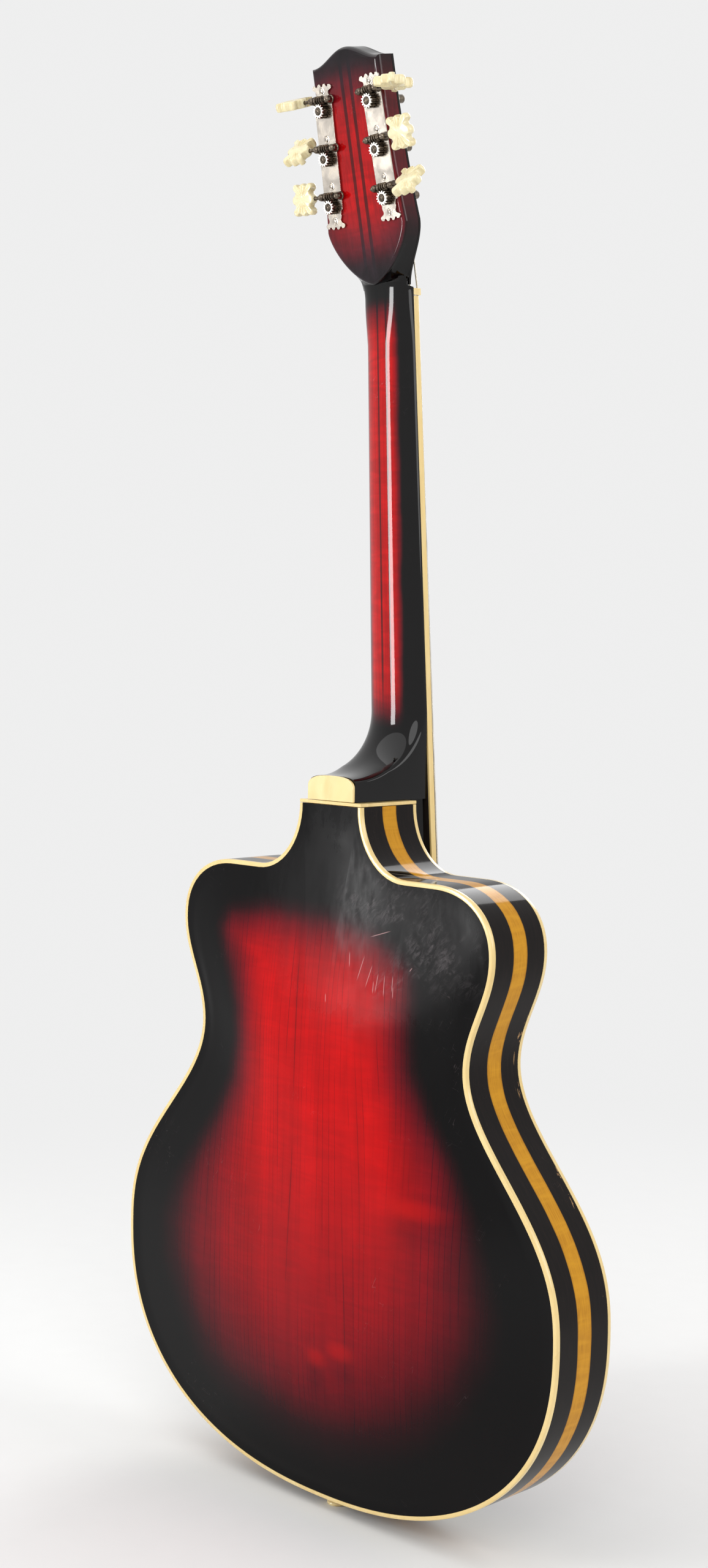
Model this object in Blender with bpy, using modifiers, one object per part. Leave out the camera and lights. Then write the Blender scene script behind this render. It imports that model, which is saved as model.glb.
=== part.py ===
"""Archtop jazz guitar: solid peghead, open worm-gear tuners, floating bridge, trapeze tailpiece.

Metres, +Z up the neck. The strings face -Y, the carved back faces +Y, and the bass side is -X.
The origin is the centre of the end pin's outer face.
"""

import math

import bmesh
import bpy
import numpy as np
from mathutils import Matrix, Vector
from mathutils.bvhtree import BVHTree

# Clearances
SEAM = 0.0003  # between pieces that are glued, pressed or screwed together
RUNNING = 0.0001  # between a turning shaft and its bearing, on the radius

# Body outline, seen from the front
BODY_LENGTH = 0.500
LOWER_HALF = 0.2150
LOWER_Z = 0.158
WAIST_HALF = 0.1323
WAIST_Z = 0.328
UPPER_HALF = 0.1538
UPPER_Z = 0.4046
SHOULDER_X = 0.100
SHOULDER_Z = 0.4505
TAB_HALF = 0.0305
SCOOP_WIDTH = 0.0415

# Body section
RIM_DEPTH = 0.0562
RIM_THICK = 0.0022
PLATE_THICK = 0.0030
BINDING_HEIGHT = 0.0033
BINDING_WIDTH = 0.0030
BACK_ARCH = 0.0150
TOP_ARCH = 0.0200
SPINE_Z = 0.200
SPINE_SHARE = 0.35
CAP_THICK = 0.0024
LINING_HEIGHT = 0.0095
LINING_WIDTH = 0.0050
NECK_BLOCK_LENGTH = 0.055
END_BLOCK_HALF = 0.036
END_BLOCK_THICK = 0.020

# Tone bars under the top
BAR_WIDTH = 0.007
BAR_HEIGHT = 0.010
BAR_FROM = 0.110
BAR_TO = 0.390
BAR_X_LOW = 0.046
BAR_X_HIGH = 0.030

# Sound holes
F_WIDTH = 0.0075
F_LENGTH = 0.100
F_CENTRE_X = 0.092
F_CENTRE_Z = 0.232
F_LEAN = 0.017
F_EYE = 0.0062

# Neck and fretboard
SCALE_LENGTH = 0.640
BODY_FRET = 14
FRET_COUNT = 20
BOARD_UNDER_AT_JOINT = 0.0736
NECK_TILT = math.radians(3.2)
NUT_HALF = 0.0215
JOINT_HALF = 0.0270
NECK_DEPTH_NUT = 0.0106
NECK_DEPTH_JOINT = 0.0146
BOARD_EDGE = 0.0052
BOARD_RADIUS = 0.300
BOARD_BINDING = 0.0018
BOARD_OVERHANG = 0.006
EXTENSION_DEPTH = 0.007
EXTENSION_HALF = 0.0200
FRET_WIDTH = 0.0022
FRET_CROWN = 0.0010
NUT_THICK = 0.0050
NUT_RISE = 0.0016

# Heel
HEEL_OUT = 0.062  # centre of the heel's hollow, above the body's end
HEEL_CREST = 0.0440
HEEL_ROUND = 0.0050
HEEL_HALF = 0.0225
HEEL_CAP_THICK = 0.0022

# Peghead
HEAD_ANGLE = math.radians(9.0)
HEAD_SET = 0.0015
HEAD_THICK = 0.016
VENEER_THICK = 0.0020
HEAD_LENGTH = 0.1607
HEAD_TOP_HALF = 0.0322
HEAD_LOW_HALF = 0.0382
HEAD_WIDEST = 0.0500
CROWN_RISE = 0.0100
CROWN_HALF = 0.0315
TONGUE_LENGTH = 0.0400
TONGUE_POWER = 1.5

# Tuners, in the frame of their plate
PLATE_CENTRE = 0.1006
PLATE_X = 0.0248
PLATE_SLANT = math.radians(2.35)
TUNER_PLATE_LENGTH = 0.098
TUNER_PLATE_WIDTH = 0.0168
TUNER_PLATE_THICK = 0.0012
TUNER_SPACING = 0.0324
TUNER_SHIFT = -0.0012
GEAR_TEETH = 14
GEAR_TIP = 0.0050
GEAR_ROOT = 0.0039
GEAR_FACE = 0.0056
WORM_LEAD = 0.0020
WORM_RADIUS = 0.0030
WORM_CORE = 0.0019
WORM_LENGTH = 0.0092
WORM_MESH = 0.0072  # worm axis to gear axis
SHAFT_RADIUS = 0.0012
BEARING_RADIUS = 0.0026
BEARING_OUT = 0.0077
POST_RADIUS = 0.0030
POST_STUB = 0.0017
POST_OUT = 0.0130
BUTTON_OUT = 0.0246
BUTTON_LENGTH = 0.0205
BUTTON_TALL = 0.0226
BUTTON_THICK = 0.0060
BUTTON_TURNS = (4, 48, 82, 76, 6, -46)  # degrees at rest

# Strings, first to sixth
STRING_RADII = (0.00018, 0.00022, 0.00030, 0.00042, 0.00055, 0.00068)
NUT_SPREAD = 0.0352
SADDLE_SPREAD = 0.0520
STRING_RISE_SADDLE = 0.0068
WIND_TURNS = 2
WIND_GAP = 0.00055
WIND_ENTRY = 0.0062
LOOP_POINTS = 16

# Bridge
BASE_HALF = 0.072
BASE_THICK = 0.013
BASE_SHARE = 0.387  # of the height between the top and the strings
STUD_X = 0.0370
STUD_RADIUS = 0.0020
WHEEL_RADIUS = 0.0080
WHEEL_THICK = 0.0030
WHEEL_TRAVEL = 0.0021
SADDLE_HALF = 0.052
SADDLE_THICK = 0.0090
SADDLE_CREST = 0.18  # share of the thickness left flat under the strings
SADDLE_FALL = 0.0052  # from the crest to the upper edges of the faces
BORE_ROOF = 0.0008  # wood left over each stud bore

# Tailpiece and end pin
TAIL_Z = 0.0880
TAIL_RISE = 0.0280  # string bar off the plane of the top binding
TAIL_HALF = 0.034
TAIL_BAR = 0.0042
TAIL_ROD = 0.0016
HINGE_HALF = 0.0120
HINGE_RADIUS = 0.0032
HINGE_SHARE = 0.62  # of the bracket's width taken by the hinge tube
BRACKET_THICK = 0.0015
PIN_INSET = 0.0180
PIN_STAND = 0.0095
PIN_HEAD = 0.0075
PIN_NECK = 0.0048
PIN_SHANK = 0.0030

# Facets
LOWER_STEPS = 9
WAIST_STEPS = 7
UPPER_STEPS = 4
HORN_STEPS = 5
SCOOP_STEPS = 5
NECK_SIDES = 16

COLOURS = {
    "burst_lacquer": ((0.10, 0.004, 0.006), 0.14, 0.0),
    "black_lacquer": ((0.012, 0.009, 0.008), 0.14, 0.0),
    "neck_lacquer": ((0.17, 0.004, 0.008), 0.14, 0.0),
    "ivoroid": ((0.82, 0.66, 0.36), 0.35, 0.0),
    "cream_plastic": ((0.86, 0.76, 0.55), 0.40, 0.0),
    "bare_spruce": ((0.62, 0.44, 0.26), 0.70, 0.0),
    "ebonised_wood": ((0.025, 0.018, 0.015), 0.40, 0.0),
    "nickel": ((0.72, 0.70, 0.66), 0.30, 1.0),
    "aged_nickel": ((0.20, 0.16, 0.13), 0.38, 1.0),
    "string_steel": ((0.66, 0.64, 0.60), 0.30, 1.0),
}


def start_scene():
    for obj in list(bpy.data.objects):
        bpy.data.objects.remove(obj, do_unlink=True)
    for name in ("jazz_guitar", "cutters"):
        bpy.context.scene.collection.children.link(bpy.data.collections.new(name))


def make_materials():
    for name, (colour, roughness, metallic) in COLOURS.items():
        material = bpy.data.materials.new(name)
        material.use_nodes = True
        shader = material.node_tree.nodes["Principled BSDF"]
        shader.inputs["Base Color"].default_value = (*colour, 1.0)
        shader.inputs["Roughness"].default_value = roughness
        shader.inputs["Metallic"].default_value = metallic
        material.diffuse_color = (*colour, 1.0)


def datum(name, parent, matrix):
    empty = bpy.data.objects.new(name, None)
    bpy.data.collections["jazz_guitar"].objects.link(empty)
    empty.empty_display_size = 0.01
    empty.parent = parent
    empty.matrix_local = matrix
    bpy.context.view_layer.update()
    return empty


def place(name, mesh, parent, material=None, matrix=None, smooth=math.radians(35)):
    """An object for a mesh. Without a material it is a cutter or a shape to be joined."""
    obj = bpy.data.objects.new(name, mesh)
    folder = "jazz_guitar" if material else "cutters"
    bpy.data.collections[folder].objects.link(obj)
    obj.parent = parent
    obj.matrix_local = matrix or Matrix.Identity(4)
    if material:
        mesh.materials.clear()
        mesh.materials.append(bpy.data.materials[material])
        mesh.shade_smooth()
        mesh.set_sharp_from_angle(angle=smooth)
    else:
        obj.hide_render = True
        obj.display_type = "WIRE"
    bpy.context.view_layer.update()
    return obj


def mesh_of(bm, name):
    bmesh.ops.recalc_face_normals(bm, faces=bm.faces)
    mesh = bpy.data.meshes.new(name)
    bm.to_mesh(mesh)
    bm.free()
    return mesh


def combine(obj, operation, tool):
    modifier = obj.modifiers.new(f"{operation.lower()} {tool.name}", "BOOLEAN")
    modifier.operation = operation
    modifier.solver = "EXACT"
    modifier.object = tool
    return modifier


def loft(name, sections):
    """A solid skinned over closed sections that hold the same number of points."""
    bm = bmesh.new()
    rings = [[bm.verts.new(point) for point in section] for section in sections]
    count = len(rings[0])
    for low, high in zip(rings, rings[1:]):
        for i in range(count):
            j = (i + 1) % count
            bm.faces.new((low[i], low[j], high[j], high[i]))
    bm.faces.new(rings[0][::-1])
    bm.faces.new(rings[-1])
    bmesh.ops.remove_doubles(bm, verts=bm.verts, dist=1e-6)
    return mesh_of(bm, name)


def add_cylinder(bm, radius, start, end, sides=12, top_radius=None):
    """A capped cylinder or cone between two points, added to a mesh being built."""
    axis = Vector(end) - Vector(start)
    turn = axis.to_track_quat("Z", "Y").to_matrix().to_4x4()
    middle = Matrix.Translation((Vector(start) + Vector(end)) / 2)
    bmesh.ops.create_cone(
        bm,
        cap_ends=True,
        segments=sides,
        radius1=radius,
        radius2=radius if top_radius is None else top_radius,
        depth=axis.length,
        matrix=middle @ turn,
    )


def add_spindle(bm, matrix, profile, sides):
    """A closed turned solid along the matrix's Z, from (distance, radius) pairs."""
    rings = []
    for along, radius in profile:
        ring = []
        for i in range(sides):
            a = 2 * math.pi * i / sides
            ring.append(bm.verts.new(matrix @ Vector((radius * math.cos(a), radius * math.sin(a), along))))
        rings.append(ring)
    for low, high in zip(rings, rings[1:]):
        for i in range(sides):
            j = (i + 1) % sides
            bm.faces.new((low[i], low[j], high[j], high[i]))
    bm.faces.new(rings[0][::-1])
    bm.faces.new(rings[-1])


def add_box(bm, low, high):
    size = [b - a for a, b in zip(low, high)]
    centre = [(a + b) / 2 for a, b in zip(low, high)]
    matrix = Matrix.Translation(centre) @ Matrix.Diagonal((*size, 1.0))
    bmesh.ops.create_cube(bm, size=1.0, matrix=matrix)


def extrude_outline(name, points, low, high, axis="y"):
    """A prism: outline points (x, z) raised along y, or (x, y) raised along z."""
    if axis == "y":
        return loft(name, [[(x, level, z) for x, z in points] for level in (low, high)])
    return loft(name, [[(x, y, level) for x, y in points] for level in (low, high)])


def turned(name, profile, sides, parent, material, matrix=None):
    """A Screw modifier round local Z. The profile (radius, z) runs from top to bottom."""
    mesh = bpy.data.meshes.new(name)
    edges = [(i, i + 1) for i in range(len(profile) - 1)]
    mesh.from_pydata([(r, 0.0, z) for r, z in profile], edges, [])
    obj = place(name, mesh, parent, material, matrix)
    screw = obj.modifiers.new("turn", "SCREW")
    screw.steps = sides
    screw.render_steps = sides
    screw.use_merge_vertices = True
    screw.merge_threshold = 1e-5
    return obj


def tube(name, points, radius, sides_setting, parent, material, cyclic=False):
    """A wire along points: a bevelled curve made into a closed mesh."""
    curve = bpy.data.curves.new(name + " path", "CURVE")
    curve.dimensions = "3D"
    curve.bevel_depth = radius
    curve.bevel_resolution = sides_setting
    curve.use_fill_caps = True
    spline = curve.splines.new("POLY")
    spline.points.add(len(points) - 1)
    for slot, point in zip(spline.points, points):
        slot.co = (*point, 1.0)
    spline.use_cyclic_u = cyclic
    guide = bpy.data.objects.new(name + " path", curve)
    bpy.data.collections["cutters"].objects.link(guide)
    bpy.context.view_layer.update()
    mesh = bpy.data.meshes.new_from_object(guide.evaluated_get(bpy.context.evaluated_depsgraph_get()))
    bpy.data.objects.remove(guide, do_unlink=True)
    bm = bmesh.new()
    bm.from_mesh(mesh)
    bmesh.ops.remove_doubles(bm, verts=bm.verts, dist=1e-6)
    bm.to_mesh(mesh)
    bm.free()
    return place(name, mesh, parent, material)


def smooth_rise(t):
    t = min(max(t, 0.0), 1.0)
    return t * t * (3 - 2 * t)


def body_half():
    """The treble half of the body outline, from the bottom centre up to the neck tab's corner."""
    points = []
    power = 2 / 2.28
    for i in range(LOWER_STEPS):
        a = math.radians(90 * i / LOWER_STEPS)
        points.append((LOWER_HALF * math.sin(a) ** power, LOWER_Z * (1 - math.cos(a) ** power)))
    for i in range(WAIST_STEPS):
        t = i / WAIST_STEPS
        share = (1 + math.cos(math.pi * t**1.25)) / 2
        points.append((WAIST_HALF + (LOWER_HALF - WAIST_HALF) * share, LOWER_Z + (WAIST_Z - LOWER_Z) * t))
    for i in range(UPPER_STEPS):
        t = i / UPPER_STEPS
        share = (1 - math.cos(math.pi * t)) / 2
        points.append((WAIST_HALF + (UPPER_HALF - WAIST_HALF) * share, WAIST_Z + (UPPER_Z - WAIST_Z) * t))
    power = 2 / 2.2
    for i in range(HORN_STEPS + 1):
        a = math.radians(90 * i / HORN_STEPS)
        x = SHOULDER_X + (UPPER_HALF - SHOULDER_X) * max(math.cos(a), 0.0) ** power
        points.append((x, UPPER_Z + (SHOULDER_Z - UPPER_Z) * math.sin(a) ** power))
    tab_top = BODY_LENGTH - CAP_THICK - SEAM
    for i in range(SCOOP_STEPS + 1):
        a = math.radians(90 * i / SCOOP_STEPS)
        x = TAB_HALF + SCOOP_WIDTH * (1 - math.sin(a))
        points.append((x, tab_top - (tab_top - SHOULDER_Z) * math.cos(a)))
    return points


def body_outline():
    """The whole outline, anticlockwise seen from the front, from the bottom centre."""
    half = body_half()
    return half + [(-x, z) for x, z in half[:0:-1]]


def inset(points, distance):
    """Closed outline moved inwards by a distance, with mitred corners."""
    result = []
    count = len(points)
    for i in range(count):
        before = Vector(points[i]) - Vector(points[i - 1])
        after = Vector(points[(i + 1) % count]) - Vector(points[i])
        normals = [Vector((-edge.y, edge.x)).normalized() for edge in (before, after)]
        bisector = (normals[0] + normals[1]).normalized()
        reach = distance / max(bisector.dot(normals[0]), 0.5)
        result.append(tuple(Vector(points[i]) + bisector * reach))
    return result


def ring_points(points, share):
    """The outline drawn in towards the body's spine by a share from 0 to 1."""
    along = 1 - share * (1 - SPINE_SHARE)
    return [(x * (1 - share), SPINE_Z + (z - SPINE_Z) * along) for x, z in points]


def arch_rise(share):
    """Height of the carved arch, from 0 at the edge to 1 on the spine."""
    return math.sin(math.pi / 2 * share**0.8) ** 2


def plate_reader(obj):
    """Reads a plate's outer and inner y at a point of the body, before its holes are cut."""
    tree = BVHTree.FromObject(obj, bpy.context.evaluated_depsgraph_get())

    def outer(x, z):
        return tree.ray_cast(Vector((x, -1.0, z)), Vector((0, 1, 0)))[0].y

    def inner(x, z):
        return tree.ray_cast(Vector((x, -RIM_DEPTH / 2, z)), Vector((0, -1, 0)))[0].y

    return outer, inner


def plate(name, facing, height, parent, material):
    """A carved plate: rings that follow the outline, thickened inwards. facing is +1 for the back."""
    outline = body_outline()
    edge_y = 0.0 if facing > 0 else -RIM_DEPTH
    shares = (0.08, 0.20, 0.36, 0.58, 1.0)
    rings = [(inset(outline, BINDING_WIDTH + SEAM), 0.0)]
    rings += [(ring_points(outline, share), height * arch_rise(share)) for share in shares]
    bm = bmesh.new()
    loops = [[bm.verts.new((x, edge_y + facing * rise, z)) for x, z in ring] for ring, rise in rings]
    count = len(outline)
    for outer, inner in zip(loops, loops[1:]):
        for i in range(count):
            j = (i + 1) % count
            bm.faces.new((outer[i], outer[j], inner[j], inner[i]))
    bmesh.ops.remove_doubles(bm, verts=bm.verts, dist=1e-5)
    mesh = mesh_of(bm, name)
    upward = sum(polygon.normal.y * polygon.area for polygon in mesh.polygons)
    if upward * facing < 0:
        mesh.flip_normals()
    obj = place(name, mesh, parent, material)
    shell = obj.modifiers.new("thickness", "SOLIDIFY")
    shell.thickness = PLATE_THICK
    shell.offset = -1
    shell.use_even_offset = False
    return obj


def hoop(name, outline, section, parent, material):
    """A closed band that follows the body outline. The section holds (inset, y) pairs, in order round it."""
    bm = bmesh.new()
    walls = []
    for distance, y in section:
        line = inset(outline, distance) if distance else outline
        walls.append([bm.verts.new((x, y, z)) for x, z in line])
    count = len(outline)
    for first, second in zip(walls, walls[1:] + walls[:1]):
        for i in range(count):
            j = (i + 1) % count
            bm.faces.new((first[i], first[j], second[j], second[i]))
    return place(name, mesh_of(bm, name), parent, material)


def band(low, high, outer, width):
    """Rectangular section for a hoop."""
    return [(outer, low), (outer, high), (outer + width, high), (outer + width, low)]


def body_shell(parent):
    outline = body_outline()
    plate("back_plate", 1, BACK_ARCH, parent, "burst_lacquer")
    top = plate("top_plate", -1, TOP_ARCH, parent, "burst_lacquer")
    outer, inner = plate_reader(top)
    cut_f_holes(top, parent)
    rim_low = -RIM_DEPTH + BINDING_HEIGHT + SEAM
    rim_high = -BINDING_HEIGHT - SEAM
    rim = hoop("rim", outline, band(rim_low, rim_high, 0, RIM_THICK), parent, "black_lacquer")
    hoop("back_binding", outline, band(-BINDING_HEIGHT, 0.0, 0, BINDING_WIDTH), parent, "ivoroid")
    low = -RIM_DEPTH
    hoop("top_binding", outline, band(low, low + BINDING_HEIGHT, 0, BINDING_WIDTH), parent, "ivoroid")
    near = RIM_THICK + SEAM
    for label, level, height in (("back", rim_high, -LINING_HEIGHT), ("top", rim_low, LINING_HEIGHT)):
        wedge = [(near, level), (near + LINING_WIDTH, level), (near, level + height)]
        hoop(f"{label}_lining", outline, wedge, parent, "bare_spruce")
    shoulder_cap(parent)
    bm = bmesh.new()
    hole = PIN_SHANK + SEAM
    add_cylinder(bm, hole, (0, -PIN_INSET, -0.01), (0, -PIN_INSET, 0.004))
    combine(rim, "DIFFERENCE", place("pin hole in rim", mesh_of(bm, "pin hole in rim"), parent))
    return outer, inner


def shoulder_cap(parent):
    """The strip that closes the end of the neck tab."""
    bm = bmesh.new()
    add_box(bm, (-TAB_HALF, -RIM_DEPTH, BODY_LENGTH - CAP_THICK), (TAB_HALF, 0.0, BODY_LENGTH))
    place("shoulder_cap", mesh_of(bm, "shoulder_cap"), parent, "ivoroid")


def f_slot(side):
    """Outline of one sound hole's S-shaped slot."""
    left = []
    right = []
    steps = 8
    for i in range(steps + 1):
        t = i / steps
        sweep = math.cos(math.pi * t)
        x = F_CENTRE_X - F_LEAN * (t - 0.5) * 2 + 0.006 * math.sin(2 * math.pi * t)
        z = F_CENTRE_Z + (t - 0.5) * F_LENGTH
        width = F_WIDTH * (1 - 0.55 * sweep * sweep)
        left.append((side * (x - width / 2), z))
        right.append((side * (x + width / 2), z))
    return left + right[::-1]


def cut_f_holes(top, parent):
    for side in (-1, 1):
        label = "treble" if side > 0 else "bass"
        name = f"f hole slot {label}"
        slot = extrude_outline(name, f_slot(side), -0.120, -RIM_DEPTH + 0.020)
        combine(top, "DIFFERENCE", place(name, slot, parent))
        bm = bmesh.new()
        for end in (-1, 1):
            x = side * (F_CENTRE_X - end * (F_LEAN - F_EYE * 0.6))
            z = F_CENTRE_Z + end * (F_LENGTH / 2)
            add_cylinder(bm, F_EYE, (x, -0.120, z), (x, -RIM_DEPTH + 0.020, z), 10)
        name = f"f hole eyes {label}"
        combine(top, "DIFFERENCE", place(name, mesh_of(bm, name), parent))


def end_block_outline(gap, smaller):
    """End block seen from the front, its foot following the outline at a gap inside it."""
    foot = []
    half = END_BLOCK_HALF - smaller
    edge = sorted(p for p in inset(body_outline(), gap) if p[1] < LOWER_Z / 2)
    for x in (-half, 0.0, half):
        for (x0, z0), (x1, z1) in zip(edge, edge[1:]):
            if x0 <= x < x1:
                foot.append((x, z0 + (z1 - z0) * (x - x0) / (x1 - x0)))
    return foot + [(half, END_BLOCK_THICK - smaller), (-half, END_BLOCK_THICK - smaller)]


def body_blocks(parent):
    """Neck block and end block, notched where the linings run past them."""
    clear = RIM_THICK + SEAM
    lined = clear + LINING_WIDTH + SEAM
    high = -PLATE_THICK - SEAM
    low = -RIM_DEPTH + PLATE_THICK + SEAM
    notch = BINDING_HEIGHT + SEAM + LINING_HEIGHT + SEAM
    tab_top = BODY_LENGTH - CAP_THICK - SEAM
    bm = bmesh.new()
    half = TAB_HALF - lined
    bottom = tab_top - NECK_BLOCK_LENGTH
    add_box(bm, (-half, low, bottom), (half, high, tab_top - lined))
    block = place("neck_block", mesh_of(bm, "neck_block"), parent, "bare_spruce")
    bm = bmesh.new()
    half = TAB_HALF - clear
    add_box(bm, (-half, notch - RIM_DEPTH, bottom + 0.004), (half, -notch, tab_top - clear))
    combine(block, "UNION", place("neck block core", mesh_of(bm, "neck block core"), parent))
    wide = end_block_outline(lined, 0.0)
    block = extrude_outline("end_block", wide, low, high)
    block = place("end_block", block, parent, "bare_spruce")
    core = extrude_outline("end block core", end_block_outline(clear, 0.002), notch - RIM_DEPTH, -notch)
    combine(block, "UNION", place("end block core", core, parent))
    bm = bmesh.new()
    hole = PIN_SHANK + SEAM
    add_cylinder(bm, hole, (0, -PIN_INSET, -0.01), (0, -PIN_INSET, END_BLOCK_THICK + 0.01))
    combine(block, "DIFFERENCE", place("pin hole in block", mesh_of(bm, "pin hole in block"), parent))


def tone_bars(parent, inner):
    """Two bars shaped to the underside of the top, thinned to their ends."""
    steps = 22
    for side, label in ((-1, "bass"), (1, "treble")):
        sections = []
        for i in range(steps + 1):
            t = i / steps
            z = BAR_FROM + (BAR_TO - BAR_FROM) * t
            centre = side * (BAR_X_LOW + (BAR_X_HIGH - BAR_X_LOW) * t)
            edges = (centre - BAR_WIDTH / 2, centre + BAR_WIDTH / 2)
            under = [inner(x, z) + SEAM for x in edges]
            free = max(under) + 0.002 + (BAR_HEIGHT - 0.002) * math.sin(math.pi * t) ** 0.7
            ring = [(x, y, z) for x, y in zip(edges, under)]
            sections.append(ring + [(x, free, z) for x in edges[::-1]])
        name = f"tone_bar_{label}"
        place(name, loft(name, sections), parent, "bare_spruce")


def fret_from_nut(number):
    return SCALE_LENGTH * (1 - 2 ** (-number / 12))


NUT_FROM_JOINT = fret_from_nut(BODY_FRET)
BOARD_END = NUT_FROM_JOINT - fret_from_nut(FRET_COUNT) - BOARD_OVERHANG


def board_half(along):
    """Half width of the fretboard at a distance along the neck from the body joint."""
    return JOINT_HALF + (NUT_HALF - JOINT_HALF) * along / NUT_FROM_JOINT


def board_crown(x, half):
    """How far the cambered playing face stands above its own edge."""
    flat = math.sqrt(BOARD_RADIUS**2 - half**2)
    return math.sqrt(max(BOARD_RADIUS**2 - x**2, 0.0)) - flat


def neck_section(half, depth, count=NECK_SIDES):
    """Rounded neck back: points (x, depth) from bass edge to treble edge."""
    points = []
    for i in range(count + 1):
        a = math.pi * i / count
        points.append((-half * math.cos(a), depth * math.sin(a)))
    return points


def neck_matrix():
    place_at = Matrix.Translation((0, -BOARD_UNDER_AT_JOINT, BODY_LENGTH))
    return place_at @ Matrix.Rotation(-NECK_TILT, 4, "X")


def head_matrix():
    """From the peghead's frame to the neck's: x to the bass side, y up the head, z out of its back."""
    turn = Matrix(((-1, 0, 0, 0), (0, 0, 1, 0), (0, 1, 0, 0), (0, 0, 0, 1)))
    place_at = Matrix.Translation((0, HEAD_SET, NUT_FROM_JOINT))
    return place_at @ Matrix.Rotation(-HEAD_ANGLE, 4, "X") @ turn


def shaft_sections():
    """Neck shaft in body coordinates, from the nut down to where the heel starts."""
    frame = neck_matrix()
    start = HEEL_OUT / math.cos(NECK_TILT)
    sections = []
    lift = NUT_THICK + 2 * SEAM
    behind = HEAD_SET + VENEER_THICK + 4 * SEAM
    for past in (0.016, lift + 0.0010):
        floor = behind + past * math.tan(HEAD_ANGLE)
        along = NUT_FROM_JOINT + past
        inner = neck_section(NUT_HALF * 0.86, NECK_DEPTH_NUT - floor + 0.001)
        sections.append([frame @ Vector((x, y + floor, along)) for x, y in inner])
    for along in (NUT_FROM_JOINT + lift, NUT_FROM_JOINT, NUT_FROM_JOINT * 0.55, start + 0.035):
        share = 1 - along / NUT_FROM_JOINT
        depth = NECK_DEPTH_NUT + (NECK_DEPTH_JOINT - NECK_DEPTH_NUT) * share
        half = min(board_half(along), board_half(0))
        sections.append([frame @ Vector((x, y, along)) for x, y in neck_section(half, depth)])
    return sections


def heel_sections():
    """Heel in body coordinates: sections that fan round the hollow between neck and back."""
    centre = Vector((0, -HEEL_CAP_THICK - SEAM, BODY_LENGTH + HEEL_OUT))
    along = HEEL_OUT / math.cos(NECK_TILT)
    slope = math.tan(NECK_TILT)
    board_y = BOARD_UNDER_AT_JOINT + centre.y - HEEL_OUT * slope
    face = HEEL_OUT - SEAM
    share = 1 - along / NUT_FROM_JOINT
    depth_start = NECK_DEPTH_NUT + (NECK_DEPTH_JOINT - NECK_DEPTH_NUT) * share
    crest_start = board_y - depth_start
    corner = math.degrees(math.atan2(face, board_y + slope * face))
    angles = [0, corner * 0.3, corner * 0.62, corner, 53, 64, 74, 83, 90]
    sections = []
    for angle in angles:
        a = math.radians(angle)
        t = smooth_rise(angle / 90)
        crest = crest_start + (HEEL_CREST - crest_start) * t
        fall = depth_start + (HEEL_ROUND - depth_start) * min(1.0, t * 1.6)
        half = board_half(along) + (HEEL_HALF - board_half(along)) * angle / 90
        reach = board_y / (math.cos(a) - slope * math.sin(a))
        if angle > corner - 0.001:
            reach = face / math.sin(a)
        power = 2 + 0.6 * t
        ring = []
        for i in range(NECK_SIDES + 1):
            b = math.pi * i / NECK_SIDES
            x = -half * math.copysign(abs(math.cos(b)) ** (2 / power), math.cos(b))
            bulge = math.sin(b) ** (2 / power)
            radius = crest + fall * (1 - bulge)
            if i in (0, NECK_SIDES):
                radius = reach
            ring.append(centre + Vector((x, -math.cos(a) * radius, -math.sin(a) * radius)))
        sections.append(ring)
    return sections


def neck_extension():
    """The tongue of neck wood under the fretboard where it runs on above the top."""
    end = BOARD_END + 0.004
    half = EXTENSION_HALF
    sections = []
    for along, top, depth in ((end, 0.0, 0.55), (-0.0006, 0.0, 1.0), (0.012, 0.0008, 1.0)):
        low = top + EXTENSION_DEPTH * depth
        ring = [(-half, top, along), (half, top, along), (half * 0.8, low, along), (-half * 0.8, low, along)]
        sections.append(ring)
    return loft("neck extension", sections)


def head_half(height):
    """Half width of the peghead above its widest place."""
    share = (HEAD_LENGTH - height) / (HEAD_LENGTH - HEAD_WIDEST)
    return HEAD_TOP_HALF + (HEAD_LOW_HALF - HEAD_TOP_HALF) * max(share, 0.0) ** 2.2


def head_outline(back):
    """Half outline (x, y) from the crown's peak down the side to the bottom centre."""
    points = []
    steps = 6
    for i in range(steps + 1):
        x = CROWN_HALF * i / steps
        rise = CROWN_RISE * math.cos(math.pi / 2 * x / CROWN_HALF) ** 2
        points.append((x, HEAD_LENGTH + rise))
    points[-1] = (HEAD_TOP_HALF, HEAD_LENGTH)
    for i in range(1, 5):
        y = HEAD_LENGTH + (HEAD_WIDEST - HEAD_LENGTH) * i / 5
        points.append((head_half(y), y))
    lower = 8
    for i in range(lower + 1):
        t = i / lower
        if back:
            a = math.pi / 2 * t
            x = HEAD_LOW_HALF * max(math.cos(a), 0.0) ** (2 / TONGUE_POWER)
            y = HEAD_WIDEST - TONGUE_LENGTH * math.sin(a) ** (2 / TONGUE_POWER)
        elif t < 0.8:
            y = HEAD_WIDEST * (1 - t / 0.8) + 0.0003
            x = NUT_HALF + (HEAD_LOW_HALF - NUT_HALF) * smooth_rise((y - 0.004) / (HEAD_WIDEST - 0.004))
        else:
            y = 0.0003
            x = NUT_HALF * (1 - (t - 0.8) / 0.2)
        points.append((x, y))
    return points


def whole(half):
    """Mirrors a half outline that starts and ends on the centre line."""
    return half + [(-x, y) for x, y in half[-2:0:-1]]


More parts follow.
